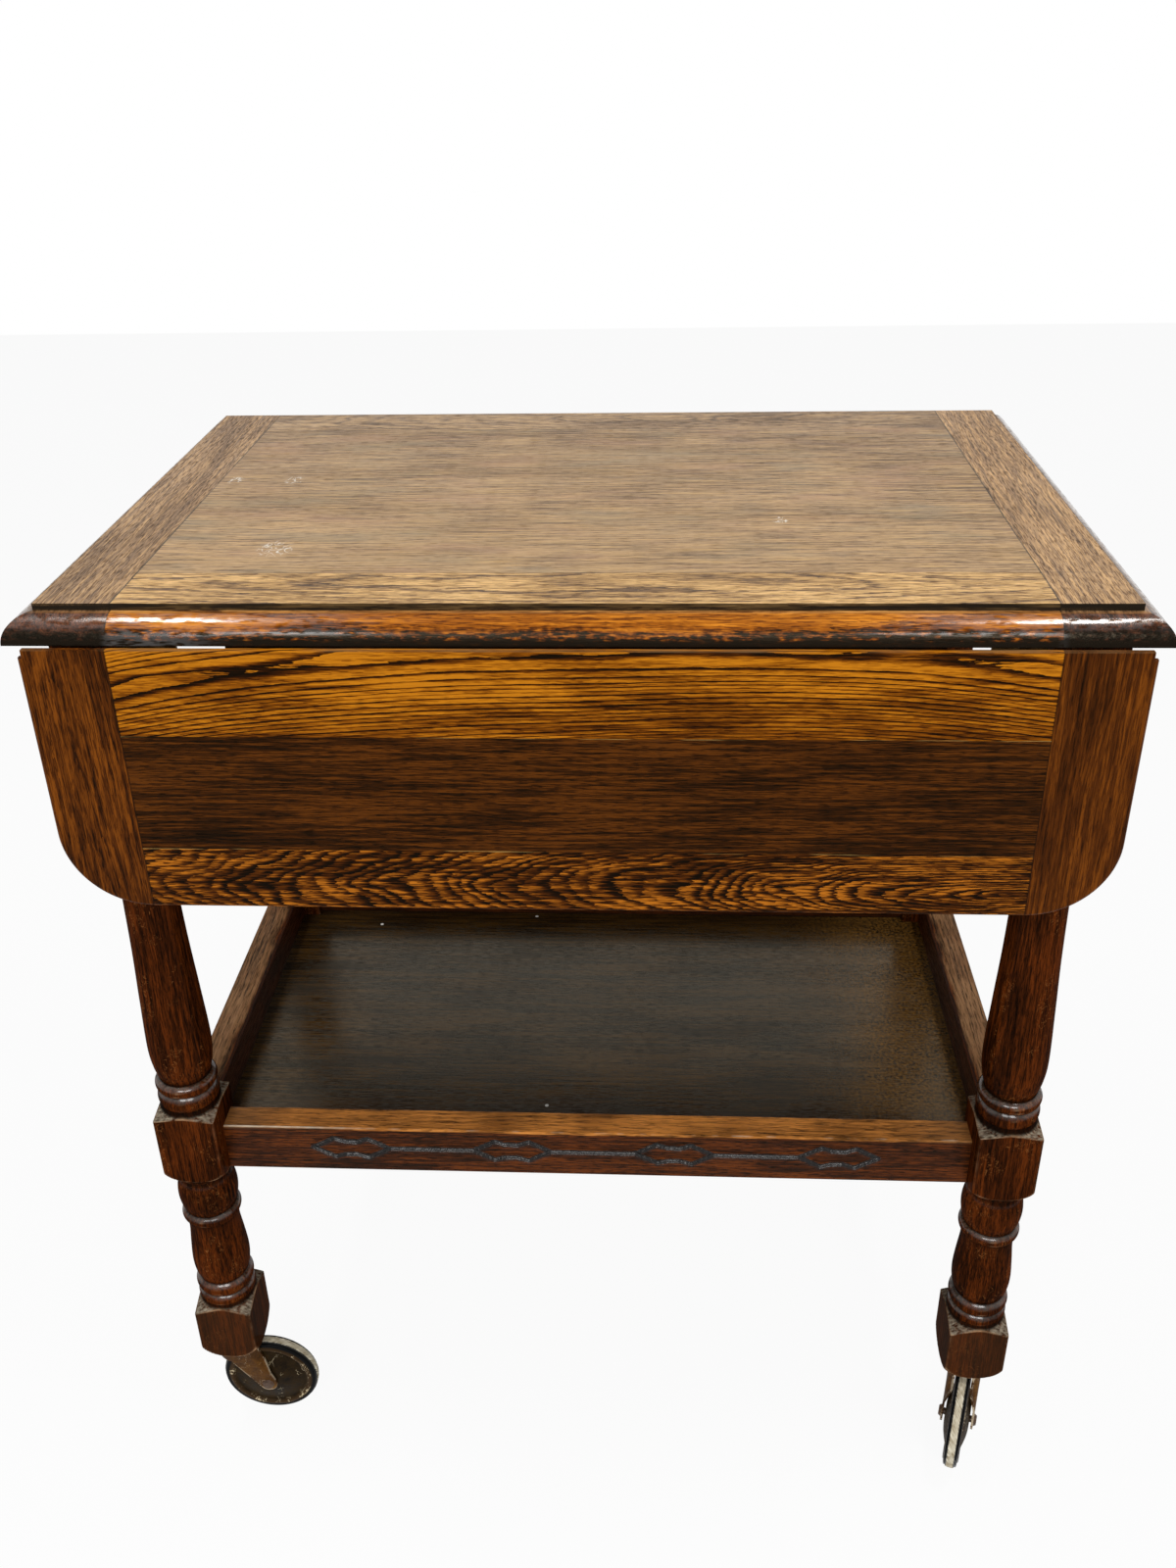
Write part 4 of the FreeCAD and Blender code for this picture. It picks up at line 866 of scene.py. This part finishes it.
# %% The rail's finish
def carved_finish(name, seed, side):
    """Red oak with dark lacquer in its carving. side is 1 for the front rail and -1 for the back one."""
    oak = Oak(name, "xzy", (0.0, 283.0, side * RAIL_FACE), seed, red_oak, spacing=1.8, offset=120, depth=40,
              wander=8, ripple=1.2, width=0.3, rings=0.5, shine=0.36)
    shelf_rail_marks(oak, oak.step(abs(oak.y), 145.4, 144.8), worn_brown)
    near_legs = oak.step(abs(oak.x), 205.0, 262.0) * oak.step(oak.z, 300.0, 302.0)
    oak.tint(near_legs * 0.55, paint(86, 66, 48))
    rubbed = oak.noise(oak.x / 16, 0.0, 0.0, 2.0, 65)
    # A pale line along the front arris: wear, and a painted highlight.
    front_arris = oak.near(oak.y, RAIL_FACE + 0.9, 0.9) * oak.step(oak.z, 300.8, 301.8)
    oak.tint(front_arris * (oak.step(oak.x, -120.0, -235.0) + rubbed * 1.4) * 0.85, paint(226, 208, 182))
    dust = oak.lumps((2.2, 1, 1.6), 3.0, 62)
    lacquer_colour = oak.mix(oak.step(dust, 0.16, 0.3) * 0.4, paint(9, 5, 4), paint(100, 92, 86))
    lacquer = oak.shader(dust, 0.1, Base_Color=lacquer_colour, Roughness=0.22, Specular_IOR_Level=0.3)
    oak.end(oak.node("MixShader", {}, {0: oak.attribute("carved"), 1: oak.varnished(), 2: lacquer}))
    return oak.material


for side, name, seed in ((1, "shelf_front_rail", 34), (-1, "shelf_back_rail", 35)):
    press, kind = (1.0, "carved_rail") if side == 1 else (0.0, "plain_rail")
    points = grid(side * along_x, side * (section[:, 0] + cut * press), up_z)
    rail = piece(name.replace("rail", kind), "root", "stained_oak", points, tube(points),
                 carved_finish(name, seed, side), crease=55, carved=carved * press)
    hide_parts(name)

# %% [markdown]
# ## Castors
# A castor is made at the origin with its wheel trailing towards +x, then turned and set under its leg.
# The wheel is pressed from two discs, domed towards the axle and rolled at the rim, that grip a narrow rubber
# tyre. Both are profiles turned about the axle, and the tread of the tyre is slightly worn and uneven.

# %% Places and lathe
CASTOR_TURNS = {"front_left": 0.0, "front_right": 251.8, "back_right": 180.0, "back_left": 71.8}
TRAIL, WHEEL_R = 22.0, 37.5


def under_leg(points, corner_name):
    """Turns castor points about the stem and moves them under their leg."""
    turn = math.radians(CASTOR_TURNS[corner_name])
    side_x, side_y = corners[corner_name]
    x, y, z = np.moveaxis(points, -1, 0)
    return grid(x * math.cos(turn) - y * math.sin(turn) + side_x * LEG_X,
                x * math.sin(turn) + y * math.cos(turn) + side_y * LEG_Y, z)


def lathe(profile, steps):
    """Turns (radius, distance along the axle) points about the axle; the profile closes on itself."""
    turn = np.linspace(0, 2 * math.pi, steps, endpoint=False)[:, None]
    radius, along = profile.T
    return grid(TRAIL + radius * np.cos(turn), along, WHEEL_R + radius * np.sin(turn))


# %% Wheel and tyre
half_disc = draw(
    (2.55, 9.2), (stretch, (6.0, 9.2), 1),
    (flow, (8.5, 9.1), (13.0, 8.5), (18.0, 7.2), (23.0, 5.6), (27.8, 4.3), 4),
    (arc, (28.5, 4.2), (29.1, 4.5), 3), (arc, (31.0, 5.9), (33.0, 5.2), 7),
    (flow, (34.2, 5.15), (35.3, 5.0), (36.0, 4.6), (36.3, 4.0), (36.0, 3.56), 4), (stretch, (31.15, 3.56), 1))
disc_profile = np.concatenate([half_disc, half_disc[::-1] * [1, -1]])
disc_points = lathe(disc_profile, 120)

TYRE_STEPS, TREAD_HALF, TREAD_FROM = 360, 2.2, 37.0
tyre_wall = draw((31.1, -3.5), (stretch, (36.0, -3.5), 1), (arc, (36.9, -3.1), (37.34, -TREAD_HALF), 5))
tread = np.linspace(-TREAD_HALF, TREAD_HALF, 9)[1:-1]
domed = np.stack([WHEEL_R - (tread / 5.5) ** 2, tread], -1)
tyre_profile = np.concatenate([tyre_wall, domed, tyre_wall[::-1] * [1, -1]])
tyre_points = lathe(tyre_profile, TYRE_STEPS)
number = np.arange(TYRE_STEPS)[:, None]
turns = number * 2 * math.pi / TYRE_STEPS
scuffs = np.sin(number * 0.9) * np.sin(number * 0.37)
inwards = np.where(tyre_profile[:, 0] > TREAD_FROM, 0.12, 0.0) * (1 + scuffs)
off_the_floor = np.sin(turns) > -0.97
tyre_points[..., 0] -= inwards * np.cos(turns)
tyre_points[..., 2] -= inwards * np.sin(turns) * off_the_floor

# %% [markdown]
# The fork is one stamped sheet: two flat cheeks that narrow to the axle and a curved hood that joins them in
# front of the wheel. Seen from above the sheet follows a U. At each place along the U it reaches from the
# crown down to its lower edge, which slopes to the axle's eye. The rear edges of the cheeks curl inwards,
# and a domed crown closes the sheet at the top.

# %% Fork
CHEEK, SHEET, HOOD_X, EYE_R, CROWN_Z = 11.4, 1.6, -4.6, 7.0, 77.3
CROWN_END, FRONT_SLOPE, REAR_SLOPE = 15.0, 1.405, 2.75
HOOD_LOW, HOOD_RISE, REAR_LEAN, CURL = 62.7, 3.5, 0.342, 4.4
SHEET_ROWS = 26
along_cheek = np.concatenate([np.linspace(EYE_R + TRAIL, CROWN_END, 25)[:-1],
                              np.linspace(CROWN_END, HOOD_X, 14)[:-1]])
hood_turn = np.linspace(0, math.pi, 25)


def u_path(half_width):
    """The fork seen from above: back along one cheek, round the hood, and along the other cheek."""
    hood = np.stack([HOOD_X - half_width * np.sin(hood_turn), half_width * np.cos(hood_turn)], -1)
    cheek = np.stack([along_cheek, np.full(len(along_cheek), half_width)], -1)
    return np.concatenate([cheek, hood, cheek[::-1] * [1, -1]])


def edge_heights(x, in_hood):
    """Upper and lower edge of the sheet at each place: straight edges that end in the eye's circle."""
    eye = np.sqrt(np.clip(EYE_R ** 2 - (x - TRAIL) ** 2, 0, None))
    front_edge = CROWN_Z - (x + CROWN_END) * FRONT_SLOPE
    rear_edge = CROWN_Z - (x - CROWN_END) * REAR_SLOPE
    lower = np.where(x < 15.9, front_edge, WHEEL_R - eye)
    upper = np.where(x > CROWN_END, np.minimum(rear_edge, CROWN_Z), CROWN_Z)
    upper = np.maximum(upper, WHEEL_R + np.where(x > 28.0, eye, 0))
    return upper, np.where(in_hood > 0, HOOD_LOW + HOOD_RISE * in_hood, lower)


def fork_sheet(half_width):
    """Grid of one side of the sheet, from its upper to its lower edge."""
    path = u_path(half_width)
    x, y = path[:, :1], path[:, 1:]
    hood = np.zeros(len(path))
    hood[len(along_cheek):len(along_cheek) + len(hood_turn)] = np.sin(hood_turn)
    upper, lower = edge_heights(path[:, 0], hood)
    share = np.linspace(0, 1, SHEET_ROWS)
    z = upper[:, None] * (1 - share) + lower[:, None] * share
    from_edge = (upper[:, None] - z) * REAR_LEAN
    curled = np.exp(-(from_edge / 3.4) ** 2) * np.clip((x - 12) / 4, 0, 1) * np.clip((z - 50) / 12, 0, 1)
    return grid(x, y - np.sign(y) * curled * CURL, z)


fork_points, fork_faces = shell(fork_sheet(CHEEK + SHEET / 2), fork_sheet(CHEEK - SHEET / 2))
from_rim = np.minimum(np.linspace(0, 1, SHEET_ROWS), np.linspace(1, 0, SHEET_ROWS))
fork_rim = np.tile(np.exp(-(from_rim / 0.03) ** 2), len(fork_points) // SHEET_ROWS)
crown_profile = np.concatenate([
    [(NEAR_AXIS, 75.9), (15.6, 75.9)], arc([(15.6, 75.9), (16.3, 76.3), (16.0, 76.9)], 3),
    [(12.0, 77.35), (4.0, 77.4), (4.0, 104.0), (NEAR_AXIS, 104.4)]])
crown_turn = np.linspace(0, 2 * math.pi, 64, endpoint=False)
crown_r, crown_z = crown_profile[:, :1], crown_profile[:, 1:]
crown_points = grid(crown_r * np.cos(crown_turn), crown_r * np.sin(crown_turn), crown_z)
crown_faces = [[corner + len(fork_points) for corner in face] for face in tube(crown_points)]
whole_fork = np.concatenate([fork_points, crown_points.reshape(-1, 3)])
whole_rim = np.concatenate([fork_rim, np.zeros(len(whole_fork) - len(fork_rim))])


# %% Finishes of the castors
def scratches(finish, size):
    """Thin bright scratches: the thin band where a bent noise crosses zero, broken by another noise."""
    sizes = (size, size, size)
    crossing = finish.near(finish.lumps(sizes, 2.0, 70, 0.8), 0.0, 0.012)
    return crossing * finish.step(finish.lumps(sizes, 1.0, 71), 0.12, 0.2)


def castor_brown():
    """Brown lacquered steel, worn to bare steel at the sheet's edges and painted as bright as glints there,
    and scratched.
    """
    finish = Finish("castor_brown", 1)
    stain = finish.lumps((12, 12, 12), 3.0, 1)
    speck = finish.lumps((1.6, 1.6, 1.6), 2.0, 2)
    shade = finish.clamp(stain * 0.9 + speck * 0.35 + 0.45)
    finish.colour = finish.ramp(shade, tones((40, 24, 9), (66, 40, 13), (90, 57, 20), (120, 84, 38)))
    # The sheet's edges are bare steel, painted pale enough to stand for their glints: wear, and a painted
    # highlight.
    rim = finish.attribute("rim") * finish.step(stain + speck * 0.5, -0.1, 0.12)
    finish.tint(rim * 0.8 + scratches(finish, 9), paint(200, 182, 154))
    return finish.surface(speck + stain, 0.12, Metallic=0.15, Roughness=stain * 0.3 + 0.42,
                          Specular_IOR_Level=0.08)


def wheel_metal():
    """Olive brown discs with scratches, a rubbed roll and a black band beside the tyre."""
    finish = Finish("wheel_metal", 2)
    radius = finish.attribute("radius")
    stain = finish.lumps((10, 10, 10), 3.0, 1)
    speck = finish.lumps((1.4, 1.4, 1.4), 2.0, 2)
    finish.colour = finish.mix(finish.clamp(stain + 0.4 + speck * 0.4), paint(24, 17, 8), paint(56, 41, 20))
    roll = finish.near(radius, 31.0, 3.2)
    finish.tint(roll * 0.5, paint(84, 62, 40))
    marks = scratches(finish, 11) + roll * finish.step(speck + stain, 0.3, 0.44)
    finish.tint(marks * finish.step(radius, 33.4, 32.6), paint(214, 196, 160))
    band = finish.step(radius, 33.0, 33.8)
    finish.tint(band, paint(12, 12, 12))
    rough = finish.clamp(0.5 + stain * 0.3 - band * 0.32)
    return finish.surface(speck + stain, 0.1, Roughness=rough, Metallic=0.05, Specular_IOR_Level=0.04)


def tyre_rubber():
    """Black rubber with floor dust ground into its tread in slanting strokes."""
    finish = Finish("tyre_rubber", 3)
    round_it, side = finish.attribute("tread_place"), finish.attribute("tread_side")
    hatch = finish.noise((round_it + side * 1.3) / 1.1, side / 5, 0.0, 2.0, 1)
    patch = finish.noise(round_it / 9, side / 3, 0.0, 2.0, 2)
    paler = finish.clamp(0.45 + hatch * 1.1 + patch * 0.7)
    dust = finish.mix(paler, paint(160, 144, 114), paint(242, 234, 210))
    on_tread = finish.step(finish.attribute("radius") + hatch * 0.2, 37.1, 37.35)
    finish.colour = finish.mix(on_tread, paint(16, 15, 14), dust)
    return finish.surface(hatch, 0.25, Roughness=0.4 + on_tread * 0.45, Specular_IOR_Level=0.2)


fork_finish, disc_finish, tyre_finish = castor_brown(), wheel_metal(), tyre_rubber()
for corner_name in corners:
    fork = piece(corner_name + "_stamped_fork", corner_name + "_fork", "castor_metal",
                 under_leg(whole_fork, corner_name), fork_faces + crown_faces, fork_finish, rim=whole_rim)
    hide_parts(corner_name + "_castor_fork")
    disc = piece(corner_name + "_dished_wheel", corner_name + "_wheel", "wheel_metal",
                 under_leg(disc_points, corner_name), skin(*disc_points.shape[:2], True, True), disc_finish,
                 radius=disc_profile[:, 0])
    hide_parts(corner_name + "_castor_wheel")
    tyre = piece(corner_name + "_dusty_tyre", corner_name + "_wheel", "tyre_rubber",
                 under_leg(tyre_points, corner_name), skin(*tyre_points.shape[:2], True, True), tyre_finish,
                 radius=tyre_profile[:, 0], tread_place=turns * WHEEL_R, tread_side=tyre_profile[:, 1])
    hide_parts(corner_name + "_castor_tyre")
print("4 castors of", len(whole_fork) + disc_points.size // 3 + tyre_points.size // 3, "points each")

# %% [markdown]
# ## Small metal parts
# Hinges and stays are dull brass and brassed steel. The axles and sockets share the castors' brown.
# They keep their model shapes; what they need is an uneven patina and a few bright rubbed places.


# %% Metal finishes
def patina(name, seed, deep, pale, metallic, rough):
    finish = Finish(name, seed)
    cloud = finish.lumps((8, 8, 8), 3.0, 1)
    grain = finish.lumps((1.1, 1.1, 1.1), 2.0, 2)
    finish.colour = finish.mix(finish.clamp(cloud * 1.3 + grain * 0.5 + 0.45), deep, pale)
    finish.tint(scratches(finish, 6), paint(190, 178, 160))
    return finish.surface(grain + cloud, 0.06, Metallic=metallic, Roughness=finish.clamp(cloud * 0.3 + rough))


hinge_brass = patina("dull_brass", 4, paint(84, 62, 34), paint(150, 120, 74), 0.9, 0.42)
screw_steel = patina("screw_steel", 5, paint(70, 60, 50), paint(128, 116, 100), 0.9, 0.38)
brassed_steel = patina("brassed_steel", 6, paint(74, 60, 40), paint(142, 118, 80), 0.9, 0.36)
castor_fittings = patina("castor_fittings", 7, paint(46, 29, 16), paint(92, 60, 32), 0.25, 0.42)
for name, made in nodes.items():
    if "hinge" in name:
        dress(made, hinge_brass)
    elif name.endswith("screws"):
        dress(made, screw_steel)
    elif "stay" in name:
        dress(made, brassed_steel)
    elif name == "castor_sockets" or name.endswith("axle"):
        dress(made, castor_fittings)
print("hinges, screws, stays, axles and sockets")
